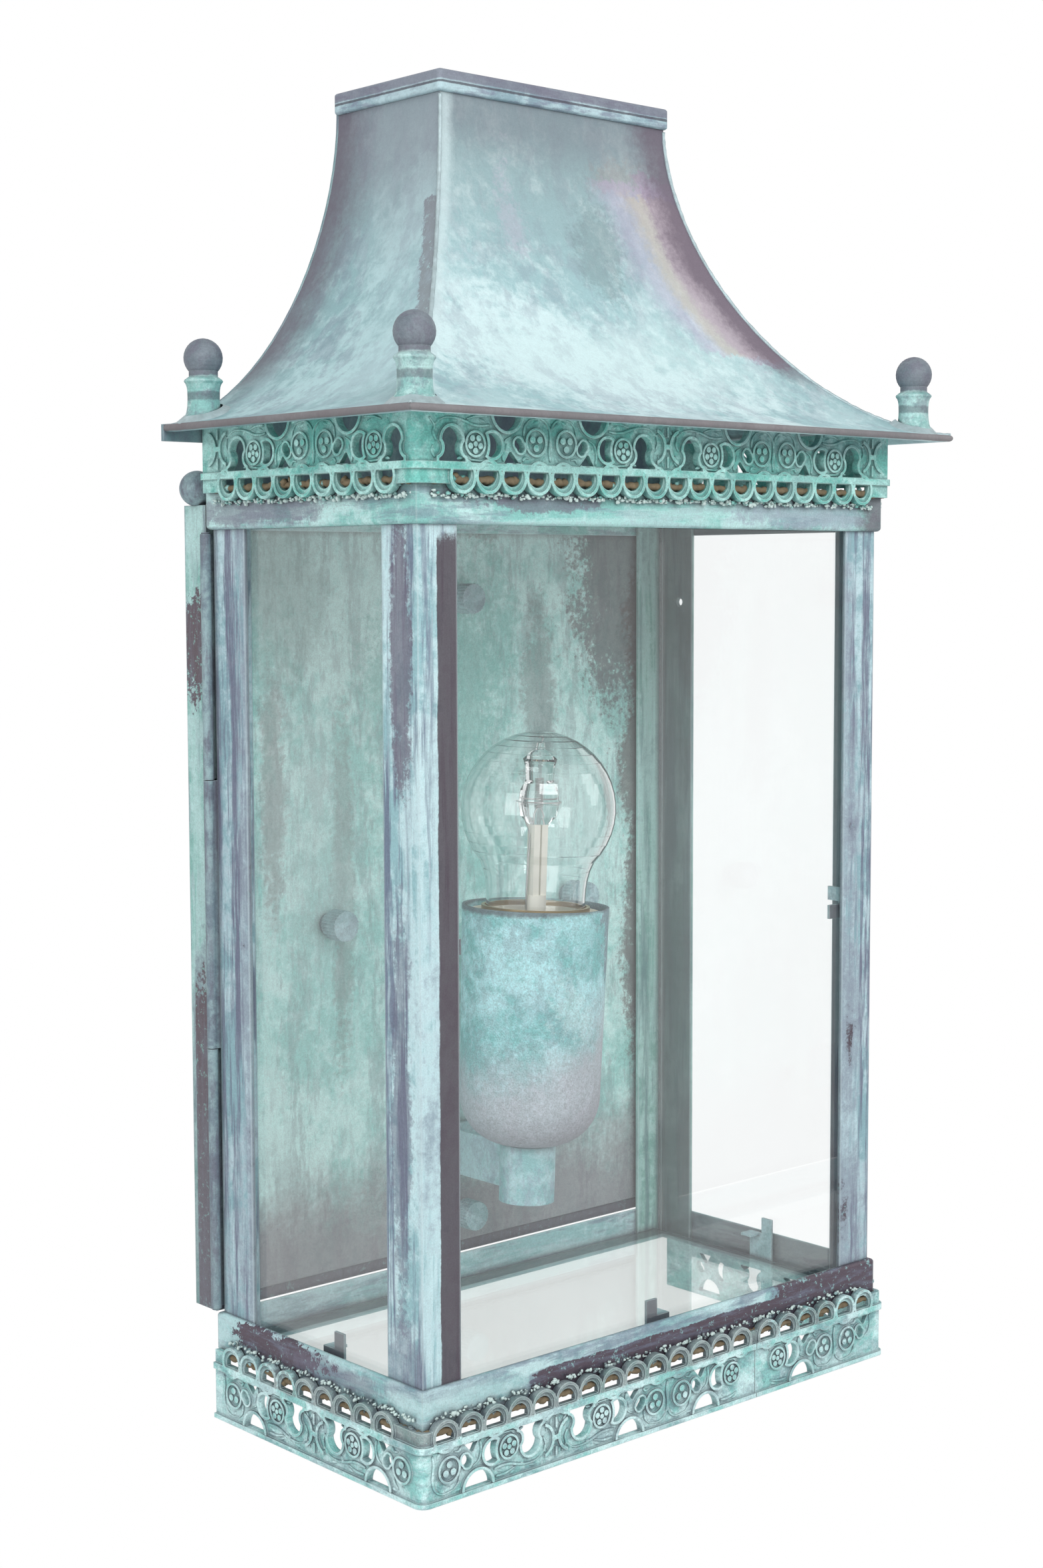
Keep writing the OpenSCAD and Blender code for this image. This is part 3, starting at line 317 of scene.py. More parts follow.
# %% Patina: grain, roughness and height
light = plus(patina, 1.0, about_half(patina, speck, 1.5), about_half(patina, fine, 1.1))
light = plus(patina, less(patina, 1.0, given["Grain"]), times(patina, light, given["Grain"]))
feed(patina, result["Grain"], put(patina, "CombineColor", {0: light, 1: light, 2: light}).outputs[0])
feed(patina, result["Roughness"], less(patina, 0.66, times(patina, bare, 0.22)))
height = plus(patina, about_half(patina, speck, 0.7), about_half(patina, fine, 0.9))
height = plus(patina, times(patina, height, given["Grain"]), times(patina, cloudy, 0.6))
feed(patina, result["Height"], less(patina, height, times(patina, bare, 0.3)))
print("patina nodes:", len(patina.nodes))

# %% [markdown]
# ## Regions and spots
# A real sheet isn't the same all over: heat from the torch left a dark band along one hip, and wiping
# left the top of the plate green. Vertex colours would need a fine mesh, so these are measured from
# the point's place. A region is a wavy boundary across the piece, along a direction in metres. A spot
# is a ragged cloud round a point, with its own size along each axis.

# %% Region group
region, given, result = new_group("region", [
    ("Direction", "Vector", (0.0, 0.0, 1.0)), ("From", "Float", 0.0), ("To", "Float", 0.01),
    ("Wave", "Float", 0.01), ("Wave scale", "Float", 30.0), ("Seed", "Float", 0.0),
], [("Mask", "Float")])
place, shifted = places(region, given["Seed"])
across = vector(region, "DOT_PRODUCT", place, given["Direction"], "Value")
sway = plus(region, noise(region, shifted, given["Wave scale"], 5.0, 0.65),
            about_half(region, noise(region, shifted, 420.0, 3.0, 0.75), 0.45))
across = plus(region, across, about_half(region, sway, times(region, given["Wave"], 2.0)))
feed(region, result["Mask"], ramp_between(region, across, given["From"], given["To"]))
print("region nodes:", len(region.nodes))

# %% Spot group
spot, given, result = new_group("spot", [
    ("Centre", "Vector", (0.0, 0.0, 0.0)), ("Reach", "Vector", (0.02, 0.02, 0.02)),
    ("Raggedness", "Float", 0.8), ("Rag scale", "Float", 60.0), ("Softness", "Float", 0.3),
    ("Seed", "Float", 0.0),
], [("Mask", "Float")])
place, shifted = places(spot, given["Seed"])
away = vector(spot, "DIVIDE", vector(spot, "SUBTRACT", place, given["Centre"]), given["Reach"])
away = vector(spot, "LENGTH", away, out="Value")
ragged = plus(spot, noise(spot, shifted, given["Rag scale"], 6.0, 0.7, 0.4),
              about_half(spot, noise(spot, shifted, 420.0, 3.0, 0.75), 0.7))
away = plus(spot, away, about_half(spot, ragged, times(spot, given["Raggedness"], 2.0)))
inner = less(spot, 1.0, given["Softness"])
feed(spot, result["Mask"], less(spot, 1.0, ramp_between(spot, away, inner, 1.0)))
print("spot nodes:", len(spot.nodes))

# %% [markdown]
# ## Edges and crevices
# Fingers and cloths rub the corners of a sheet, so an edge is paler than the face beside it, and that pale
# edge is also a painted highlight. Shade is painted into the corners. The rounded normal of the bevel node
# differs from the true one only near an edge, which makes a mask. Ambient occlusion tells how closed in a
# point is, which makes the other, for the painted shade.

# %% Edge group
edges, given, result = new_group("edges", [
    ("Radius", "Float", 0.0012), ("Depth", "Float", 0.003),
], [("Mask", "Float"), ("Crevice", "Float"), ("Normal", "Vector")])
# The edge mask: edges are made paler by it, partly as rubbed wear and partly as a painted highlight.
rounded = put(edges, "Bevel", {"Radius": given["Radius"]}, samples=4).outputs[0]
true_normal = edges.nodes.new("ShaderNodeNewGeometry").outputs["Normal"]
agree = vector(edges, "DOT_PRODUCT", rounded, true_normal, "Value")
feed(edges, result["Mask"], ramp_between(edges, less(edges, 1.0, agree), 0.02, 0.2))
feed(edges, result["Normal"], rounded)
# Ambient occlusion makes the crevice mask, where shade is painted into the corners.
closed = put(edges, "AmbientOcclusion", {"Distance": given["Depth"]}, samples=4).outputs["AO"]
feed(edges, result["Crevice"], less(edges, 1.0, ramp_between(edges, closed, 0.45, 0.95)))
print("edge nodes:", len(edges.nodes))

# %% [markdown]
# ## Making a finish
# Each finish is written as a patina with a list of marks over it: stains, and on the roof painted light
# and shade too. A mark is a mask, a strength and a colour, and the masks below can be joined, so a mark
# reads like a painter's note: purple, low down, towards the rear.

# %% Masks for marks
UP, RIGHT, FRONT, BACK = (0, 0, 1), (1, 0, 0), (0, -1, 0), (0, 1, 0)


def past(direction, start, stop, wave=0.01, wave_scale=30.0, seed=0.0):
    """All that lies past a wavy line, measured along a direction."""
    return lambda tree: use_group(tree, region, Direction=direction, From=start, To=stop, Wave=wave,
                                  Wave_scale=wave_scale, Seed=seed).outputs[0]


def near(centre, reach, raggedness, rag_scale, softness=0.3, seed=0.0):
    """A ragged spot round a point."""
    return lambda tree: use_group(tree, spot, Centre=centre, Reach=reach, Raggedness=raggedness,
                                  Rag_scale=rag_scale, Softness=softness, Seed=seed).outputs[0]


def both(a, b):
    """Where two masks overlap."""
    return lambda tree: times(tree, a(tree), b(tree))


def either(a, b):
    """Where one of two masks lies."""
    return lambda tree: calc(tree, "MAXIMUM", a(tree), b(tree))


def outside(a):
    """All that a mask leaves free."""
    return lambda tree: less(tree, 1.0, a(tree))


def between(direction, low, high, wave, wave_scale, seed=0.0, soft=0.003):
    """A wavy band between two places along a direction."""
    return both(past(direction, low, low + soft, wave, wave_scale, seed),
                outside(past(direction, high - soft, high, wave, wave_scale, seed + 5.0)))


print("directions:", UP, RIGHT, FRONT, BACK)

# %% Making and giving a finish
finishes = {}


def finish_base(name):
    """An empty material: its tree and its Principled shader."""
    made = bpy.data.materials.new(name)
    made.use_nodes = True
    finishes[name] = made
    return made.node_tree, made.node_tree.nodes["Principled BSDF"]


def dress(material, *names):
    """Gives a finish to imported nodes."""
    for name in names:
        for slot in nodes[name].material_slots:
            slot.material = finishes[material]
    print(material, "on", ", ".join(names))


def brass(name, marks=(), bare_at=None, rub_and_highlight=0.3, rub_and_highlight_colour=(202, 220, 220), crevice_shade=0.5,
          crevice_shade_colour=(70, 64, 74), radius=0.0008, depth=0.003, metallic=0.2, bump=0.4, **values):
    """A patina with marks, painted shade in corners and edges paled as wear and painted highlight; all
    colours are screen colours.
    """
    tree, shader = finish_base(name)
    for label in ("Pale", "Green", "Shade", "Dark"):
        values[label] = tone(*values[label])
    layer = use_group(tree, patina, **values)
    if bare_at:
        feed(tree, layer.inputs["Extra bare"], times(tree, bare_at(tree), 0.6))

    def lay_colour(colour, mask, strength, shade):
        return blend_colours(tree, times(tree, mask, strength), colour, tone(*shade))

    colour = layer.outputs["Color"]
    for where, strength, shade in marks:
        colour = lay_colour(colour, where(tree), strength, shade)
    colour = blend_colours(tree, 1.0, colour, layer.outputs["Grain"], "MULTIPLY")
    form = use_group(tree, edges, Radius=radius, Depth=depth)
    # Painted shade: corners that ambient occlusion finds closed in are darkened.
    colour = lay_colour(colour, form.outputs["Crevice"], crevice_shade, crevice_shade_colour)
    # The edges are made paler: partly rubbed wear, partly a painted highlight.
    colour = lay_colour(colour, form.outputs["Mask"], rub_and_highlight, rub_and_highlight_colour)
    feed(tree, shader.inputs["Base Color"], colour)
    feed(tree, shader.inputs["Roughness"], layer.outputs["Roughness"])
    shader.inputs["Metallic"].default_value = metallic
    sockets = {"Height": layer.outputs["Height"], "Normal": form.outputs["Normal"], "Strength": bump,
               "Distance": 0.0005}
    feed(tree, shader.inputs["Normal"], put(tree, "Bump", sockets).outputs[0])


print("node groups:", [group.name for group in bpy.data.node_groups])

# %% [markdown]
# ## Roof
# The roof is four sheets of cloudy brass. The front and side sheets get painted shade towards the top
# and under the cap, and the front sheet a painted highlight low in its middle and along the near hip. The
# side sheets turn purple-brown towards the wall, a ragged bare patch follows the near hip, and heat drew
# lilac and straw colours beside the far one. One noise for all of this would lose its places, so each is
# a mark of its own. The two front hips lie on x + y and x - y, which the slanted directions measure.

# %% Front sheet
hip_sum = 0.0199
eave_front, eave_side = -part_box("roof_front")[0].y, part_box("roof_right")[1].x


def beside_hip(start, stop, low, high):
    """A band beside the far hip, start to stop short of it, between two heights."""
    return both(past((1, 1, 0), -hip_sum - start, -hip_sum - stop, 0.012, 30),
                between(UP, low, high, 0.012, 30))


def cut_edge(direction, edge):
    """The mark of the raw brown edge at the eave."""
    return past(direction, edge - 0.0014, edge - 0.0008, 0.0008, 60), 0.85, (112, 98, 100)


brass("roof sheet", rub_and_highlight=0.1, crevice_shade=0.35, metallic=0.25, bump=0.15, marks=(
          # Painted shade: darker towards the top, and darkest in a band just under the cap.
          (past(UP, 0.212, 0.285, 0.02, 14), 0.55, (130, 144, 148)),
          (past(UP, 0.268, 0.292, 0.008, 30, 3.0), 0.55, (112, 116, 126)),
          # Painted highlight: a broad pale patch low in the middle of the sheet.
          (near((0.0, -0.125, 0.205), (0.11, 0.05, 0.022), 0.5, 22, 0.8), 0.5, (206, 230, 230)),
          (near((0.012, -0.09, 0.252), (0.016, 0.02, 0.030), 1.0, 36, 0.6, 4.0), 0.45, (116, 134, 138)),
          (near((-0.030, -0.09, 0.262), (0.010, 0.02, 0.026), 1.0, 40, 0.6, 9.0), 0.4, (186, 180, 196)),
          (near((0.030, -0.085, 0.275), (0.020, 0.02, 0.012), 1.0, 44, 0.6, 12.0), 0.4, (150, 142, 138)),
          (beside_hip(0.050, 0.036, 0.208, 0.276), 0.40, (186, 166, 196)),
          (beside_hip(0.036, 0.026, 0.208, 0.272), 0.45, (198, 188, 158)),
          (beside_hip(0.026, 0.018, 0.205, 0.28), 0.50, (168, 144, 170)),
          (both(past((1, 1, 0), -hip_sum - 0.022, -hip_sum - 0.006, 0.012, 40),
                past(UP, 0.188, 0.212, 0.008, 30)), 0.85, (102, 90, 104)),
          # Painted highlight: a pale line along the near hip.
          (past((-1, 1, 0), -hip_sum - 0.007, -hip_sum - 0.002, 0.003, 60), 0.6, (206, 224, 226)),
          cut_edge(FRONT, eave_front)),
      Pale=(206, 228, 230), Green=(160, 194, 198), Shade=(140, 152, 166), Dark=(92, 80, 92),
      Stretch=(0.5, 0.5, 0.25), Cloud_scale=10.0, Streak=0.35, Bare=0.05, Grain=0.16)
dress("roof sheet", "roof_front")

# %% Side and back sheets
for side, name in ((-1, "roof_left"), (1, "roof_right")):
    by_hip = past((-side, -1, 0), 0.0095, 0.0150, 0.0065, 70)
    finish = name.replace("_", " ")
    brass(finish, rub_and_highlight=0.1, crevice_shade=0.35, metallic=0.25, bump=0.15,
          bare_at=both(by_hip, between(UP, 0.200, 0.262, 0.006, 60)),
          marks=(
              (past((-side, -1, 0), -0.035, 0.002, 0.01, 30), 0.35, (184, 210, 214)),
              # Painted shade: darker towards the top, under the cap.
              (past(UP, 0.225, 0.290, 0.02, 25), 0.6, (122, 118, 130)),
              (both(past(BACK, -0.046, -0.014, 0.014, 26), past(UP, 0.184, 0.200, 0.004)),
               0.85, (98, 90, 103)),
              cut_edge((side, 0, 0), eave_side)),
          Pale=(176, 206, 209), Green=(140, 174, 178), Shade=(120, 128, 146), Dark=(82, 70, 82),
          Stretch=(0.5, 0.5, 0.25), Cloud_scale=12.0, Streak=0.4, Bare=0.1, Grain=0.14, Seed=3.0)
    dress(finish, name)

brass("roof back sheet", metallic=0.25, Pale=(146, 172, 176), Green=(118, 146, 152),
      Shade=(104, 104, 124), Dark=(84, 72, 84), Stretch=(0.6, 0.6, 0.3), Cloud_scale=12.0,
      Streak=0.5, Bare=0.5, Grain=0.25, Seed=5.0)
dress("roof back sheet", "roof_back")

# %% Cap
cap_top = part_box("roof_cap")[1].z
brass("cap", rub_and_highlight=0.35, metallic=0.2, marks=(
          (past(UP, cap_top - 0.0042, cap_top - 0.0034, 0.0006, 60), 0.75, (112, 108, 124)),
          (between(UP, cap_top - 0.0052, cap_top - 0.0040, 0.0003, 60, 0.0, 0.0003), 0.8, (64, 58, 70))),
      Pale=(178, 202, 208), Green=(138, 164, 174), Shade=(118, 120, 142), Dark=(86, 76, 92),
      Stretch=(0.4, 0.4, 2.0), Cloud_scale=26.0, Streak=0.6, Bare=0.25, Grain=0.25, Seed=7.0)
dress("cap", "roof_cap")

# %% [markdown]
# ## Cast strips, rails and posts
# The pierced strips hold the most bloom, so they are the greenest part, with shade painted into every
# corner of the casting. The rails and posts were brushed lengthwise: the rails from side to side and the
# posts from top to bottom. They share the patina, stretched along the brush, because a new group for each
# would only repeat it.

# %% Strip finishes
brass("gallery bloom", rub_and_highlight=0.7, rub_and_highlight_colour=(206, 236, 232), crevice_shade=0.7, crevice_shade_colour=(64, 96, 98),
      radius=0.0006, depth=0.0035, metallic=0.1, bump=0.9,
      marks=((near((0.07, -0.14, 0.176), (0.07, 0.05, 0.006), 0.9, 90), 0.4, (120, 128, 140)),
              (near((-0.05, -0.14, 0.158), (0.06, 0.05, 0.006), 0.9, 90, 0.3, 4.0), 0.4, (150, 196, 190))),
      Pale=(180, 226, 220), Green=(112, 188, 178), Shade=(92, 140, 140), Dark=(88, 78, 84),
      Stretch=(0.5, 0.5, 1.2), Cloud_scale=60.0, Streak=0.4, Bare=0.34, Grain=0.6, Seed=11.0)
dress("gallery bloom", "gallery")
brass("skirt bloom", rub_and_highlight=0.8, rub_and_highlight_colour=(216, 238, 238), crevice_shade=0.85, crevice_shade_colour=(78, 88, 98),
      radius=0.0006, depth=0.0035, metallic=0.1, bump=0.9,
      marks=((both(past(UP, -0.1692, -0.1682, 0.002, 90),
                    near((-0.05, -0.14, -0.165), (0.16, 0.12, 0.02), 0.9, 70)), 0.6, (106, 92, 92)),),
      Pale=(204, 234, 234), Green=(142, 200, 196), Shade=(108, 134, 146), Dark=(90, 80, 90),
      Stretch=(0.5, 0.5, 1.2), Cloud_scale=60.0, Streak=0.5, Bare=0.3, Grain=0.6, Seed=13.0)
dress("skirt bloom", "skirt_left", "skirt_right")

# %% Rail finishes
brass("top rail", rub_and_highlight=0.5, crevice_shade=0.8, marks=(
          (near((-0.062, -0.137, 0.150), (0.035, 0.02, 0.004), 0.9, 70, 0.3, 2.0), 0.7, (112, 104, 122)),
          (near((0.075, -0.137, 0.148), (0.045, 0.02, 0.006), 0.9, 60, 0.4, 6.0), 0.5, (140, 144, 164)),
          (past(RIGHT, 0.102, 0.112, 0.012, 40), 0.8, (92, 80, 92)),
          (near((-0.118, -0.05, 0.148), (0.02, 0.05, 0.006), 0.9, 70, 0.4, 8.0), 0.6, (118, 112, 130))),
      radius=0.0012, Pale=(188, 222, 220), Green=(136, 194, 188), Shade=(120, 134, 150), Dark=(80, 68, 80),
      Stretch=(0.14, 0.14, 1.0), Cloud_scale=30.0, Streak=0.6, Bare=0.3, Grain=0.4, Seed=17.0)
dress("top rail", "top_rail")
on_rail_front = both(past(RIGHT, -0.080, -0.055, 0.012, 40), past(FRONT, 0.1250, 0.1300))
low_down = outside(past(UP, -0.1560, -0.1540, 0.0016, 60))
brass("base rail", rub_and_highlight=0.45, crevice_shade=0.8,
      bare_at=either(both(on_rail_front, either(low_down, past(RIGHT, 0.05, 0.07, 0.01))),
                     near((-0.118, -0.055, -0.156), (0.02, 0.032, 0.006), 1.0, 70, 0.3, 3.0)),
      marks=((near((-0.1, -0.137, -0.156), (0.03, 0.03, 0.006), 0.8, 60, 0.5), 0.5, (182, 210, 212)),
              (near((-0.118, -0.09, -0.157), (0.03, 0.04, 0.006), 0.8, 60, 0.5, 2.0), 0.5, (110, 106, 124))),
      radius=0.0012, Pale=(190, 218, 220), Green=(142, 186, 188), Shade=(112, 122, 142), Dark=(78, 66, 78),
      Stretch=(0.14, 0.14, 1.0), Cloud_scale=30.0, Streak=0.7, Bare=0.3, Grain=0.38, Seed=19.0)
dress("base rail", "base_rail")

# %% Post finishes
front_face = past(FRONT, 0.1342, 0.1344, 0.0)
stripe = both(both(between(RIGHT, -0.1083, -0.0980, 0.0008, 40, 0.0, 0.0006), front_face),
              between(UP, -0.158, 0.140, 0.008, 30, 0.0, 0.004))


def on_side(*spot_values):
    """A spot on the near post's side, kept off its front."""
    return both(near(*spot_values), outside(front_face))


brass("near post", rub_and_highlight=0.75, rub_and_highlight_colour=(210, 228, 232), crevice_shade=0.7, marks=(
          (stripe, 0.92, (72, 58, 68)),
          (on_side((-0.1165, -0.125, 0.10), (0.02, 0.007, 0.05), 0.7, 40, 0.3), 0.75, (96, 84, 104)),
          (on_side((-0.1165, -0.124, -0.06), (0.02, 0.006, 0.08), 0.9, 40, 0.4, 3.0), 0.6, (104, 104, 124)),
          (on_side((-0.1165, -0.125, -0.145), (0.02, 0.012, 0.02), 0.7, 40, 0.4, 7.0), 0.5, (120, 122, 140))),
      radius=0.0013, Pale=(196, 222, 226), Green=(146, 184, 190), Shade=(102, 112, 134), Dark=(72, 60, 70),
      Stretch=(1.0, 1.0, 0.06), Cloud_scale=24.0, Streak=0.9, Bare=0.36, Grain=0.32, Seed=23.0)
dress("near post", "post_front_left")
brass("post", rub_and_highlight=0.7, rub_and_highlight_colour=(206, 224, 228), crevice_shade=0.8,
      radius=0.0013, Pale=(190, 214, 220), Green=(138, 172, 180), Shade=(102, 104, 126), Dark=(74, 62, 72),
      Stretch=(1.0, 1.0, 0.06), Cloud_scale=24.0, Streak=0.9, Bare=0.52, Grain=0.32, Seed=29.0)
dress("post", "post_front_right", "post_rear_left")
brass("green post", rub_and_highlight=0.5, crevice_shade=0.8,
      radius=0.0013, Pale=(174, 212, 206), Green=(122, 174, 164), Shade=(92, 128, 132), Dark=(78, 66, 72),
      Stretch=(1.0, 1.0, 0.07), Cloud_scale=24.0, Streak=0.75, Bare=0.34, Grain=0.35, Seed=31.0)
dress("green post", "post_rear_right")

# %% [markdown]
# ## Wall box and lamp
# The box and the plate are green at the top and brown-purple at the bottom, with drips between. The
# cup is turquoise and granular, and goes grey towards its foot. The patina gives the drips and the
# grain, and spots and regions put each patch where it is on the real one.

# %% Wall box and plate
at_wall = past(BACK, -0.0030, -0.0015, 0.0)
brass("wall box", rub_and_highlight=0.5, crevice_shade=0.7,
      bare_at=either(both(outside(past(UP, -0.10, 0.03, 0.05, 16)), outside(at_wall)),
                     near((-0.117, -0.007, 0.10), (0.02, 0.01, 0.022), 0.9, 40)),
      marks=((outside(past(UP, -0.14, -0.02, 0.05, 12)), 0.55, (108, 112, 122)),),
      Pale=(176, 208, 206), Green=(126, 176, 168), Shade=(110, 118, 132), Dark=(88, 76, 84),
      Stretch=(1.0, 1.0, 0.10), Cloud_scale=16.0, Streak=0.75, Bare=0.12, Grain=0.4, Seed=37.0)
dress("wall box", "wall_box")

plate_dark, plate_face = (88, 80, 86), -0.0148


def on_plate(x, z, wide, high, *values):
    """A ragged spot on the plate's face."""
    return near((x, plate_face, z), (wide, 0.02, high), *values)


brass("back plate", rub_and_highlight=0.3, crevice_shade=0.55, metallic=0.15, bump=0.35, marks=(
          (on_plate(0.098, 0.125, 0.040, 0.065, 0.9, 16, 0.35, 2.0), 0.75, plate_dark),
          (on_plate(0.000, 0.160, 0.080, 0.020, 1.1, 30, 0.5, 21.0), 0.5, (104, 104, 108)),
          (on_plate(0.108, 0.03, 0.016, 0.15, 0.9, 22, 0.4, 5.0), 0.75, (96, 84, 84)),
          (on_plate(0.045, 0.07, 0.012, 0.05, 0.9, 30, 0.5, 9.0), 0.45, plate_dark),
          (outside(past(UP, -0.134, -0.092, 0.03, 22, 4.0)), 0.8, (124, 112, 120)),
          (on_plate(-0.088, 0.045, 0.008, 0.06, 0.8, 36, 0.5, 6.0), 0.5, (108, 100, 104)),
          (on_plate(-0.055, 0.0, 0.007, 0.075, 0.9, 36, 0.5, 7.0), 0.4, (110, 104, 106)),
          (on_plate(-0.006, 0.085, 0.044, 0.060, 0.9, 26, 0.5, 11.0), 0.6, (112, 180, 172)),
          (on_plate(-0.085, 0.120, 0.030, 0.050, 1.0, 22, 0.7, 14.0), 0.4, (112, 146, 142)),
          (on_plate(-0.070, 0.010, 0.024, 0.080, 0.8, 18, 0.8, 15.0), 0.4, (176, 202, 200)),
          (past(RIGHT, 0.1112, 0.1122, 0.0008, 90), 0.8, (122, 94, 76))),
      Pale=(200, 232, 228), Green=(150, 204, 198), Shade=(130, 156, 158), Dark=(104, 96, 102),
      Stretch=(1.0, 1.0, 0.22), Cloud_scale=13.0, Streak=0.5, Bare=0.26, Grain=0.4, Seed=41.0)
dress("back plate", "back_plate")

# %% Lamp cup, spigot and arm
cup_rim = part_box("lamp_cup")[1].z
brass("cup", rub_and_highlight=0.15, crevice_shade=0.4, metallic=0.15, bump=1.0, marks=(
          (outside(past((-0.55, 0, 1), -0.062, -0.034, 0.016, 40)), 0.8, (176, 174, 182)),
          (outside(past((-0.4, 0, 1), -0.088, -0.066, 0.010, 60, 5.0)), 0.5, (136, 128, 138)),
          (near((0.022, -0.085, -0.012), (0.018, 0.04, 0.022), 1.1, 90, 0.3, 3.0), 0.65, (112, 114, 128)),
          (near((-0.010, -0.105, -0.040), (0.020, 0.02, 0.018), 1.1, 90, 0.5, 8.0), 0.5, (190, 216, 218)),
          (past(UP, cup_rim - 0.0030, cup_rim - 0.0012, 0.0016, 120), 0.8, (74, 78, 86))),
      Pale=(172, 216, 220), Green=(112, 178, 178), Shade=(118, 146, 156), Dark=(96, 92, 106),
      Stretch=(0.8, 0.8, 0.6), Cloud_scale=42.0, Streak=0.45, Bare=0.24, Grain=0.75, Seed=43.0)
dress("cup", "lamp_cup")
brass("spigot", rub_and_highlight=0.3, crevice_shade=0.6, metallic=0.15, bump=0.8,
      Pale=(172, 202, 206), Green=(134, 180, 182), Shade=(136, 146, 164), Dark=(96, 88, 102),
      Stretch=(1, 1, 0.6), Cloud_scale=40.0, Streak=0.5, Bare=0.15, Grain=0.4, Seed=47.0)
dress("spigot", "lamp_spigot", "lamp_arm")

# %% Finials, nuts, clips and hinge
ball_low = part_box("finial_front_left")[1].z - 0.0140
brass("finial", rub_and_highlight=0.7, crevice_shade=0.8, metallic=0.2, bump=0.7, radius=0.0005, depth=0.003, marks=(
          (past(UP, ball_low, ball_low + 0.0012, 0.001, 150), 0.8, (100, 94, 110)),
          (between(UP, ball_low - 0.0085, ball_low - 0.0045, 0.001, 120, 0.0, 0.001), 0.6, (84, 86, 98))),
      Pale=(182, 216, 213), Green=(132, 180, 176), Shade=(108, 112, 128), Dark=(76, 66, 76),
      Stretch=(1, 1, 1), Cloud_scale=80.0, Streak=0.5, Bare=0.3, Grain=0.35, Seed=53.0)
FINIALS = ["finial_front_left", "finial_front_right", "finial_rear_left", "finial_rear_right"]
dress("finial", *FINIALS)
brass("nut", rub_and_highlight=0.6, crevice_shade=0.8, metallic=0.25, bump=0.6, radius=0.0004, depth=0.002,
      Pale=(168, 194, 198), Green=(134, 166, 170), Shade=(112, 124, 138), Dark=(80, 78, 88),
      Stretch=(1, 1, 1), Cloud_scale=80.0, Streak=0.5, Bare=0.25, Grain=0.5, Seed=59.0)
dress("nut", "thumb_nuts", "clips_front", "clips_left", "clips_right")
brass("dark brass", rub_and_highlight=0.5, crevice_shade=0.8, metallic=0.25, bump=0.5, radius=0.0004, depth=0.002,
      Pale=(144, 168, 172), Green=(112, 128, 138), Shade=(98, 94, 110), Dark=(84, 74, 84),
      Stretch=(1, 1, 0.2), Cloud_scale=50.0, Streak=0.6, Bare=0.45, Grain=0.35, Seed=61.0)
dress("dark brass", "corner_ball_left", "corner_ball_right")
dress("dark brass", "hinge_leaf_wall", "hinge_leaf_body", "hinge_pin")
print("finishes so far:", len(finishes))

# %% [markdown]
# ## Glass
# The panes are real slabs of float glass. Light passes their edges lengthwise, which makes those look
# deep green. Absorption inside the slab could do it too, but takes longer to render, so the edge faces
# get a tint by the direction they face. Shadow rays go straight through, because the metal behind a
# pane is lit.

# %% Glass finishes
def glass(name, tint, edge_tint=None, face=None):
    """Clear glass; face is the axis that a pane's two large faces look along."""
    tree, shader = finish_base(name)
    shader.inputs["Transmission Weight"].default_value = 1.0
    shader.inputs["Roughness"].default_value = 0.0
    shader.inputs["IOR"].default_value = 1.5
    shader.inputs["Base Color"].default_value = tint
    if edge_tint:
        facing = tree.nodes.new("ShaderNodeTexCoord").outputs["Normal"]
        part = put(tree, "SeparateXYZ", {0: facing}).outputs[face]
        on_face = ramp_between(tree, calc(tree, "ABSOLUTE", part), 0.4, 0.6)
        feed(tree, shader.inputs["Base Color"], blend_colours(tree, on_face, edge_tint, tint))
    through = put(tree, "BsdfTransparent", {0: tint})
    path = tree.nodes.new("ShaderNodeLightPath")
    passing = calc(tree, "MAXIMUM", path.outputs["Is Shadow Ray"], path.outputs["Is Diffuse Ray"])
    mix = put(tree, "MixShader", {0: passing, 1: shader.outputs[0], 2: through.outputs[0]})
    feed(tree, tree.nodes["Material Output"].inputs[0], mix.outputs[0])


glass("front pane", tone(254, 255, 255), tone(46, 78, 66), 1)
glass("side pane", tone(254, 255, 255), tone(46, 78, 66), 0)
glass("floor pane", tone(246, 251, 249), tone(60, 96, 84), 2)
glass("lamp glass", tone(252, 253, 253))
dress("front pane", "pane_front")
dress("side pane", "pane_left", "pane_right")
dress("floor pane", "pane_floor")
dress("lamp glass", "bulb_glass", "bulb_capsule")

# %% [markdown]
# ## Plain parts of the lamp
# The lampholder is unglazed ceramic, its ring is dull brass and the bulb's screw cap is bright steel.
# A flat colour would look like plastic, so each gets a faint mottle and a fine bump, which is all that
# such small parts show. The crust and the solder of the next steps are made the same way.

# %% Plain finishes
def plain(name, colour, roughness, metallic=0.0, mottle=0.08, scale=120.0):
    """An even finish with a faint mottle in its colour and a fine bump."""
    tree, shader = finish_base(name)
    where = tree.nodes.new("ShaderNodeTexCoord").outputs["Object"]
    cloud = noise(tree, where, scale, 3.0)
    darker = tuple(c * (1 - 3 * mottle) for c in colour[:3]) + (1.0,)
    feed(tree, shader.inputs["Base Color"], blend_colours(tree, cloud, colour, darker))
    shader.inputs["Metallic"].default_value = metallic
    feed(tree, shader.inputs["Roughness"], plus(tree, roughness - 0.05, times(tree, cloud, 0.1)))
    grain = {"Height": noise(tree, where, 2200.0, 2.0), "Strength": 0.1, "Distance": 0.0003}
    feed(tree, shader.inputs["Normal"], put(tree, "Bump", grain).outputs[0])


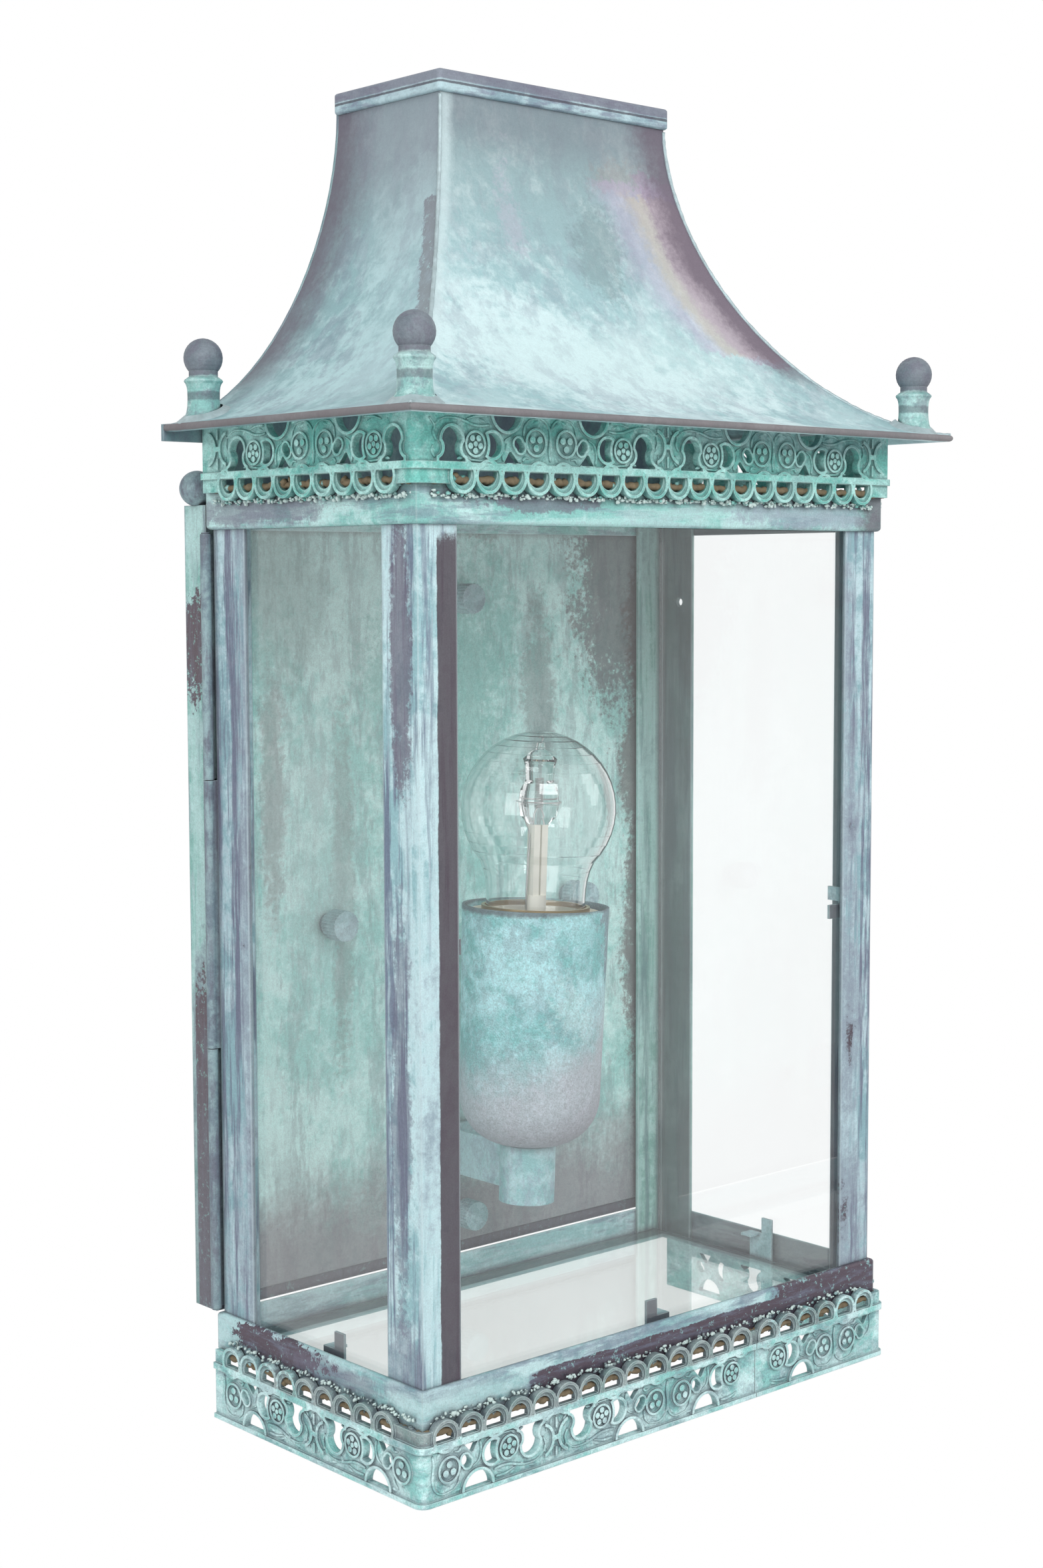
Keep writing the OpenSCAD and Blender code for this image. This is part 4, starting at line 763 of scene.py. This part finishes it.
plain("ceramic", tone(226, 218, 198), 0.6)
plain("ring brass", tone(184, 158, 112), 0.35, 0.9)
plain("steel", tone(200, 200, 200), 0.3, 1.0)
plain("cream strip", tone(242, 238, 226), 0.5, 0.2)
plain("rubber", tone(34, 34, 34), 0.7)
plain("raw brass", tone(170, 148, 104), 0.4, 0.9)
plain("gold crust", tone(150, 132, 104), 0.85, 0.0, 0.25, 420.0)
plain("pale solder", tone(216, 236, 232), 0.6, 0.0, 0.12, 500.0)
plain("hip bead", tone(190, 210, 214), 0.5, 0.3, 0.2, 300.0)
dress("ceramic", "lampholder", "terminal_block")
dress("ring brass", "holder_ring")
dress("steel", "bulb_cap")
dress("cream strip", "bulb_stem")
dress("rubber", "cable_grommet")
dress("raw brass", "holder_nipple", "plate_studs")
undressed = [n for n, o in nodes.items() if any(s.material.name not in finishes for s in o.material_slots)]
print("finishes:", len(finishes), "undressed:", undressed)

# %% [markdown]
# ## Building small pieces
# The casting's vines, the solder and the lamp's wires are too small and too irregular for the packed
# model, so they are made here. Hundreds of small objects would be slow and hard to move, so each kind
# is a plain list of points and faces, gathered in one mesh that rides on the body that carries it.

# %% Gathering a piece
class Heap:
    """Gathers points and faces, and turns them into one piece."""

    def __init__(self):
        self.points, self.faces = [], []

    def add(self, points, faces):
        start = len(self.points)
        self.points += points
        self.faces += [[start + k for k in face] for face in faces]

    def piece(self, name, finish, body, slot):
        mesh = bpy.data.meshes.new(name)
        mesh.from_pydata(self.points, [], self.faces)
        mesh.polygons.foreach_set("use_smooth", [True] * len(mesh.polygons))
        mesh.materials.append(finishes[finish])
        obj = bpy.data.objects.new(name, mesh)
        bpy.context.scene.collection.objects.link(obj)
        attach(obj, body)
        print(name, "points:", len(self.points))


def ring_faces(first, rings, sides):
    """The faces between rings of points that follow each other."""
    return [[first + k * sides + n, first + (k + 1) * sides + n,
             first + (k + 1) * sides + (n + 1) % sides, first + k * sides + (n + 1) % sides]
            for k in range(rings - 1) for n in range(sides)]


print("three rings of eight have", len(ring_faces(0, 3, 8)), "faces between them")

# %% Paths and tubes
def smooth_path(points, steps=5):
    """A curve that passes smoothly through all the points."""
    points = [Vector(p) for p in points]
    ends = [points[0] * 2 - points[1]] + points + [points[-1] * 2 - points[-2]]
    path = []
    for k in range(1, len(ends) - 2):
        a, b, c, d = ends[k - 1:k + 3]
        for s in range(steps):
            t = s / steps
            path.append(0.5 * (2 * b + (c - a) * t + (2 * a - 5 * b + 4 * c - d) * t * t
                               + (3 * b - a - 3 * c + d) * t ** 3))
    return path + [points[-1]]


def tube(heap, path, radius, sides, uneven=0.0, dice=None):
    """A closed tube along a path; radius is a number or a function of 0 to 1 along it."""
    rings, count = [], len(path)
    side = Vector((0.3, 0.2, 0.93))
    for k, point in enumerate(path):
        ahead = path[min(k + 1, count - 1)] - path[max(k - 1, 0)]
        across = ahead.cross(side).normalized()
        over = across.cross(ahead).normalized()
        r = radius(k / (count - 1)) if callable(radius) else radius
        if dice:
            r *= 1 + dice.uniform(-uneven, uneven)
        rings.append([tuple(point + (across * math.cos(a) + over * math.sin(a)) * r)
                      for a in (2 * math.pi * n / sides for n in range(sides))])
    ends = [list(range(sides)), [(count - 1) * sides + n for n in reversed(range(sides))]]
    faces = ring_faces(0, count, sides) + ends
    heap.add([p for ring in rings for p in ring], faces)


print("three points make a path of", len(smooth_path([(0, 0, 0), (1, 0, 0), (1, 1, 0)])))

# %% Crumbs
def lump(heap, centre, reach, dice, rings, sides, rough):
    """An uneven rounded crumb."""
    points = [tuple(Vector(centre) + Vector((0, 0, reach[2])))]
    for k in range(1, rings):
        tilt = math.pi * k / rings
        for n in range(sides):
            turn = 2 * math.pi * n / sides
            r = 1 + dice.uniform(-rough, rough)
            points.append((centre[0] + reach[0] * r * math.sin(tilt) * math.cos(turn),
                           centre[1] + reach[1] * r * math.sin(tilt) * math.sin(turn),
                           centre[2] + reach[2] * r * math.cos(tilt)))
    points.append(tuple(Vector(centre) - Vector((0, 0, reach[2]))))
    last = len(points) - 1
    faces = [[0, 1 + n, 1 + (n + 1) % sides] for n in range(sides)]
    faces += ring_faces(1, rings - 1, sides)
    foot = last - sides
    faces += [[foot + (n + 1) % sides, foot + n, last] for n in range(sides)]
    heap.add(points, faces)


crumb = Heap()
lump(crumb, (0, 0, 0), (1, 1, 1), random.Random(1), 4, 7, 0.35)
print("a crumb has", len(crumb.points), "points and", len(crumb.faces), "faces")

# %% [markdown]
# ## Vines of the casting
# Between its rings and openings the casting is covered with thin stalks and small leaves. A bump could
# hint at them, but it has no edge to catch the light. They are drawn once, in millimetres from the
# middle of a motif, and laid on each strip from there to both sides, the second one mirrored. A strip
# is a start point, a direction to run in, and up or down. A stalk is a tube half sunk in the face.

# %% One motif's stalks and leaves
STALKS = [
    [(0.0, 17.6), (0.5, 14.0), (0.0, 9.0), (1.2, 5.2), (4.5, 3.2), (9.5, 3.8)],
    [(12.2, 9.4), (11.6, 6.0), (9.5, 3.8)],
    [(27.6, 6.2), (30.5, 6.6), (34.5, 6.4), (38.5, 5.2), (42.5, 4.4), (47.5, 4.6), (51.5, 7.0)],
    [(28.4, 3.4), (33.0, 3.4), (37.5, 4.6)],
    [(21.4, 18.0), (21.9, 14.5), (20.6, 11.2), (17.8, 9.6)],
    [(12.6, 17.8), (11.6, 16.6), (9.6, 16.9)],
    [(29.9, 17.9), (31.6, 18.2), (34.2, 18.0), (37.0, 17.8), (38.2, 16.4)],
    [(50.6, 12.0), (51.8, 9.6), (51.4, 7.0), (53.4, 4.6)],
    [(51.2, 17.6), (52.6, 15.6), (52.0, 13.6)],
]
LEAVES = [
    (2.9, 17.3, 2.0, 0.9, 60), (2.4, 5.6, 1.9, 0.8, -40), (6.6, 4.6, 1.7, 0.8, 25), (11.8, 3.2, 1.8, 0.7, 10),
    (30.6, 4.9, 1.7, 0.7, -20), (36.2, 3.0, 1.8, 0.7, 20), (41.0, 5.6, 1.6, 0.7, 60),
    (45.6, 3.2, 1.9, 0.7, -10), (49.8, 5.8, 1.7, 0.8, 50), (20.0, 13.4, 1.5, 0.6, 80),
    (36.6, 17.0, 1.5, 0.7, -30), (54.4, 16.4, 1.9, 0.8, 70), (54.6, 5.2, 1.9, 0.8, -70),
    (40.2, 17.6, 1.4, 0.6, 10),
]
print("stalks:", len(STALKS), "leaves:", len(LEAVES))

# %% Laying them on a strip
def lay_vines(heap, start, along, outward, upright, centres, low, high):
    """Lays the stalks and leaves round each motif of a straight run, where they fit between low and high."""
    hand = Vector((0, 0, upright)).cross(along).dot(outward)  # 1 or -1: which way round faces go

    def spot_on(s, h, out):
        return start + along * (s / 1000) + Vector((0, 0, upright * h / 1000)) + outward * (out / 1000)

    def stalk_radius(t):
        return 0.00030 + 0.00028 * math.sin(math.pi * min(1, 0.15 + t))

    for c in centres:
        for m in (-1, 1):
            for stalk in STALKS:
                if all(low < c + m * s < high for s, h in stalk):
                    path = smooth_path([spot_on(c + m * s, h, 0.05) for s, h in stalk])
                    tube(heap, path, stalk_radius, 6)
            for s, h, length, width, turn in LEAVES:
                if low + 2 < c + m * s < high - 2:
                    add_leaf(heap, spot_on, c + m * s, h, length, width, math.radians(turn), m, hand)


def add_leaf(heap, spot_on, s, h, length, width, turn, m, hand):
    """A pointed leaf with a raised middle and its rim sunk in the face."""
    points = []
    for t in range(7):
        u = -1 + t / 3
        half = width * max(0.0, math.cos(u * math.pi / 2)) ** 0.7 + 0.02
        for v, rise in ((-1, 0.02), (-0.5, 0.38), (0, 0.62), (0.5, 0.38), (1, 0.02)):
            a, b = u * length, v * half
            x = a * math.cos(turn) - b * math.sin(turn)
            points.append(tuple(spot_on(s + m * x, h + a * math.sin(turn) + b * math.cos(turn),
                                        rise * max(0.0, math.cos(u * math.pi / 2)) ** 0.5 - 0.1)))
    faces = [[t * 5 + k, t * 5 + k + 1, t * 5 + k + 6, t * 5 + k + 5] for t in range(6) for k in range(4)]
    heap.add(points, faces if m * hand > 0 else [f[::-1] for f in faces])


leaf = Heap()
add_leaf(leaf, lambda s, h, out: Vector((s, h, out)), 0, 0, 2.0, 0.8, 0.0, 1, 1)
print("a leaf has", len(leaf.points), "points and", len(leaf.faces), "faces")

# %% Vines on the gallery and the skirt
PROUD, CORNER, MOTIF = 0.0010, 0.0026, 113.0  # the moulding, the round corner, and one motif in mm
side_face, front_y = -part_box("gallery")[0].x - PROUD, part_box("gallery")[0].y + PROUD
side_start = front_y + CORNER
# For each strip: the level of its plain edge, up or down from there, the front's lengths and the
# sides, each as motif middles, low end and high end in mm, and its first arches in metres.
STRIPS = {
    "gallery": {"edge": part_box("gallery")[1].z, "upright": -1, "arches": (-0.0046, 0.0068),
                "front": [((-61.1, -61.1 + MOTIF), -117, 117)], "side": ((52.0,), 2, 116)},
    "skirt": {"edge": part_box("skirt_left")[0].z, "upright": 1, "arches": (-0.00875, 0.00595),
              "front": [((-116.1, -116.1 + MOTIF, -116.1 + 2 * MOTIF), -117, 44), ((91.0,), 46, 117)],
              "side": ((0.3, 0.3 + MOTIF), 2, 116)},
}


def on_front(strip, x):
    """A point on the front of a strip, the direction that the front runs in, and outward."""
    return Vector((x, front_y, STRIPS[strip]["edge"])), Vector(RIGHT), Vector(FRONT)


def on_flank(strip, side, y):
    """The same on its left side, -1, or its right side, 1."""
    return Vector((side * side_face, y, STRIPS[strip]["edge"])), Vector(BACK), Vector((side, 0, 0))


for strip, run in STRIPS.items():
    vines = Heap()
    for motifs_and_ends in run["front"]:
        lay_vines(vines, *on_front(strip, 0), run["upright"], *motifs_and_ends)
    for side in (-1, 1):
        lay_vines(vines, *on_flank(strip, side, side_start), run["upright"], *run["side"])
    vines.piece(strip + "_vines", strip + " bloom", "lantern", "verdigris_brass")

# %% [markdown]
# ## Crust and crystals
# The strips were soldered to the rails and then treated, so a brown crust sits in the small arches and
# pale crystals stand along the tips. Crumbs of uneven size do this best: a dice with a fixed seed
# gives the same crumbs on every run.

# %% Middles of the small arches
ARCH_PITCH, ARCH_RADIUS, FRONT_END = 0.0113, 0.0043, 0.112


def arch_spots():
    """For each small arch: its strip, the point of the plain edge over its middle, direction, outward."""
    for k in range(-10, 11):
        for strip, run in STRIPS.items():
            x = run["arches"][0] + ARCH_PITCH * k
            if abs(x) <= FRONT_END:
                yield strip, *on_front(strip, x)
    for side in (-1, 1):
        for k in range(10):
            for strip, run in STRIPS.items():
                yield strip, *on_flank(strip, side, side_start + run["arches"][1] + ARCH_PITCH * k)


print("small arches:", len(list(arch_spots())))

# %% Crumbs in the arches and along their tips
ARCH_BASE, TIP_LEVEL, TIP_CURVE = 0.0215, 0.0296, 26
dice = random.Random(7)
crust, crystals, bloom = Heap(), Heap(), {strip: Heap() for strip in STRIPS}
for strip, middle, along, outward in arch_spots():
    upright = Vector((0, 0, STRIPS[strip]["upright"]))
    for k in range(7):
        across = dice.uniform(-0.0040, 0.0040)
        drop = math.sqrt(max(0.0, ARCH_RADIUS ** 2 - across ** 2))
        crumb = middle + along * across - outward * dice.uniform(0.0016, 0.0028)
        crumb = crumb + upright * (ARCH_BASE + drop + dice.uniform(-0.0006, 0.0004))
        r = dice.uniform(0.0005, 0.0013)
        lump(crust if k < 3 else bloom[strip], crumb, (r * 1.3, r, r), dice, 4, 7, 0.35)
    for k in range(22 if strip == "gallery" else 12):
        across = dice.uniform(-0.0056, 0.0056)
        crumb = middle + along * across - outward * dice.uniform(0.0008, 0.0024)
        crumb = crumb + upright * (TIP_LEVEL - TIP_CURVE * across ** 2 + dice.uniform(-0.0006, 0.0010))
        r = dice.uniform(0.0002, 0.0006)
        growth = (r * dice.uniform(1, 2.2), r, r * dice.uniform(0.8, 1.6))
        lump(crystals if dice.random() < 0.75 else bloom[strip], crumb, growth, dice, 4, 6, 0.4)
print("crumb points:", len(crust.points) + len(crystals.points))

# %% Beads of crust behind the arches
BEAD_LEVEL, BEHIND, BEAD_STEP = 0.0246, 0.0021, 0.0012
reach, rear_end, front_line = side_face - BEHIND, side_start + 0.116, front_y + BEHIND
bead_corners = [(-reach, rear_end), (-reach, front_line), (reach, front_line), (reach, rear_end)]
for run in STRIPS.values():
    level = run["edge"] + run["upright"] * BEAD_LEVEL
    for a, b in zip(bead_corners, bead_corners[1:]):
        steps = max(2, round(math.hypot(b[0] - a[0], b[1] - a[1]) / BEAD_STEP))
        path = [Vector((a[0] + (b[0] - a[0]) * k / steps, a[1] + (b[1] - a[1]) * k / steps,
                        level + dice.uniform(-0.0003, 0.0003))) for k in range(steps + 1)]
        tube(crust, path, 0.0013, 8, 0.25, dice)
crust.piece("arch_crust", "gold crust", "lantern", "verdigris_brass")
crystals.piece("rail_crystals", "pale solder", "lantern", "verdigris_brass")
for strip in STRIPS:
    bloom[strip].piece(strip + "_bloom", strip + " bloom", "lantern", "verdigris_brass")

# %% [markdown]
# ## Solder on the roof
# The sheets meet in mitred hips that were closed with solder and rubbed down, which leaves a low
# rounded bead. Each finial stands in a small puddle of it. A bump in the material wouldn't show on
# the outline, so both are meshes that follow the roof's own curve, a flattened quarter ellipse from
# the neck to the eave.

# %% The roof's curve
neck_x, neck_y, roof_run, roof_rise, roof_power = 0.0566, -0.0765, 0.0803, 0.1177, 0.86
eave_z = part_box("roof_front")[0].z + 0.0026


def roof_height(x, y):
    """Height of the roof's upper face over a point of the plan."""
    out = max(0.0, min(roof_run, max(abs(x) - neck_x, neck_y - y)))
    level = (1 - out / roof_run) ** roof_power
    return eave_z + roof_rise * (1 - math.sqrt(1 - level * level) ** (1 / roof_power))


print("eave at", round(eave_z, 4))

# %% Beads on the two front hips
solder, bead_radius, sunk = Heap(), 0.00075, 0.0001
for side in (-1, 1):
    path = []
    for k in range(90):
        out = roof_run * (1 - math.cos(math.radians(k)) ** (1 / roof_power))
        x, y = side * (neck_x + out), neck_y - out
        path.append(Vector((x, y, roof_height(x, y) - sunk)))
    tube(solder, path, bead_radius, 8, 0.16, dice)
solder.piece("hip_solder", "hip bead", "lantern", "roof_brass")

# %% Puddles under the finials
PROFILE = ((0.0070, 0.0022), (0.0077, 0.0017), (0.0085, 0.0009), (0.0094, 0.0003), (0.0100, -0.0004))
even_within, rear_limit = 0.0078, -0.0160
puddles, sides = Heap(), 36
for name in FINIALS:
    low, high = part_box(name)
    x, y = (low.x + high.x) / 2, (low.y + high.y) / 2
    points = []
    uneven = [dice.uniform(0.92, 1.10) for n in range(sides)]
    for r, rise in PROFILE:
        for n in range(sides):
            turn = 2 * math.pi * n / sides
            reach = r if r < even_within else r * (uneven[n] + uneven[n - 1] + uneven[(n + 1) % sides]) / 3
            px, py = x + reach * math.cos(turn), y + reach * math.sin(turn)
            points.append((px, min(py, rear_limit), roof_height(px, py) + rise))
    puddles.add(points, ring_faces(0, len(PROFILE), sides))
puddles.piece("finial_solder", "hip bead", "lantern", "roof_brass")

# %% [markdown]
# ## Inside the bulb
# The inner capsule is carried by two bright wires that rise beside the flat strips, bend round its foot
# and grip it with a ring. Its filament is a close coil. Thin curves with a bevel would do too, but the
# same tube helper gives closed meshes. All of it stands in the lamp's own frame, in millimetres, which
# leans a little to the right.

# %% Wires and filament
spigot_foot, lean = (-0.008, -0.0655, -0.1175), math.radians(2.6)
lamp_frame = Matrix.Translation(spigot_foot) @ Matrix.Rotation(lean, 4, "Y")


def in_lamp(points):
    """Points in the lamp's frame, in millimetres, as places of the scene."""
    return [lamp_frame @ Vector((x / 1000, y / 1000, z / 1000)) for x, y, z in points]


def ring_of(radius, degrees, z):
    """A point of a ring round the lamp's axis."""
    return radius * math.cos(math.radians(degrees)), radius * math.sin(math.radians(degrees)), z


wires = Heap()
for side in (-1, 1):
    tube(wires, smooth_path(in_lamp([(side * 3.2, 0, 106), (side * 4.4, 0.6, 114), (side * 4.6, 0.2, 130),
                                     (side * 4.3, 0, 143), (side * 6.6, 0.4, 149), (side * 8.5, 0, 154),
                                     (side * 8.4, 0, 158)])), 0.00035, 6)
    tube(wires, smooth_path(in_lamp([(side * 1.6, 0, 143.5), (side * 1.9, 0, 149), (side * 1.2, 0, 152.5),
                                     (side * 0.4, 0, 154)])), 0.00022, 6)
tube(wires, in_lamp([ring_of(8.5, a, 155.6) for a in range(0, 361, 15)]), 0.00032, 6)
tip_hook = [(0, 0, 178), (1.2, 0, 179.4), (0.4, 0, 180.6), (-0.8, 0, 179.8)]
tube(wires, smooth_path(in_lamp(tip_hook)), 0.0003, 6)
wires.piece("bulb_wires", "steel", "wall", "steel")

coil = Heap()
tube(coil, in_lamp([ring_of(1.1, 40 * k, 154 + 0.055 * k) for k in range(200)]), 0.00014, 5)
coil.piece("bulb_filament", "steel", "wall", "steel")
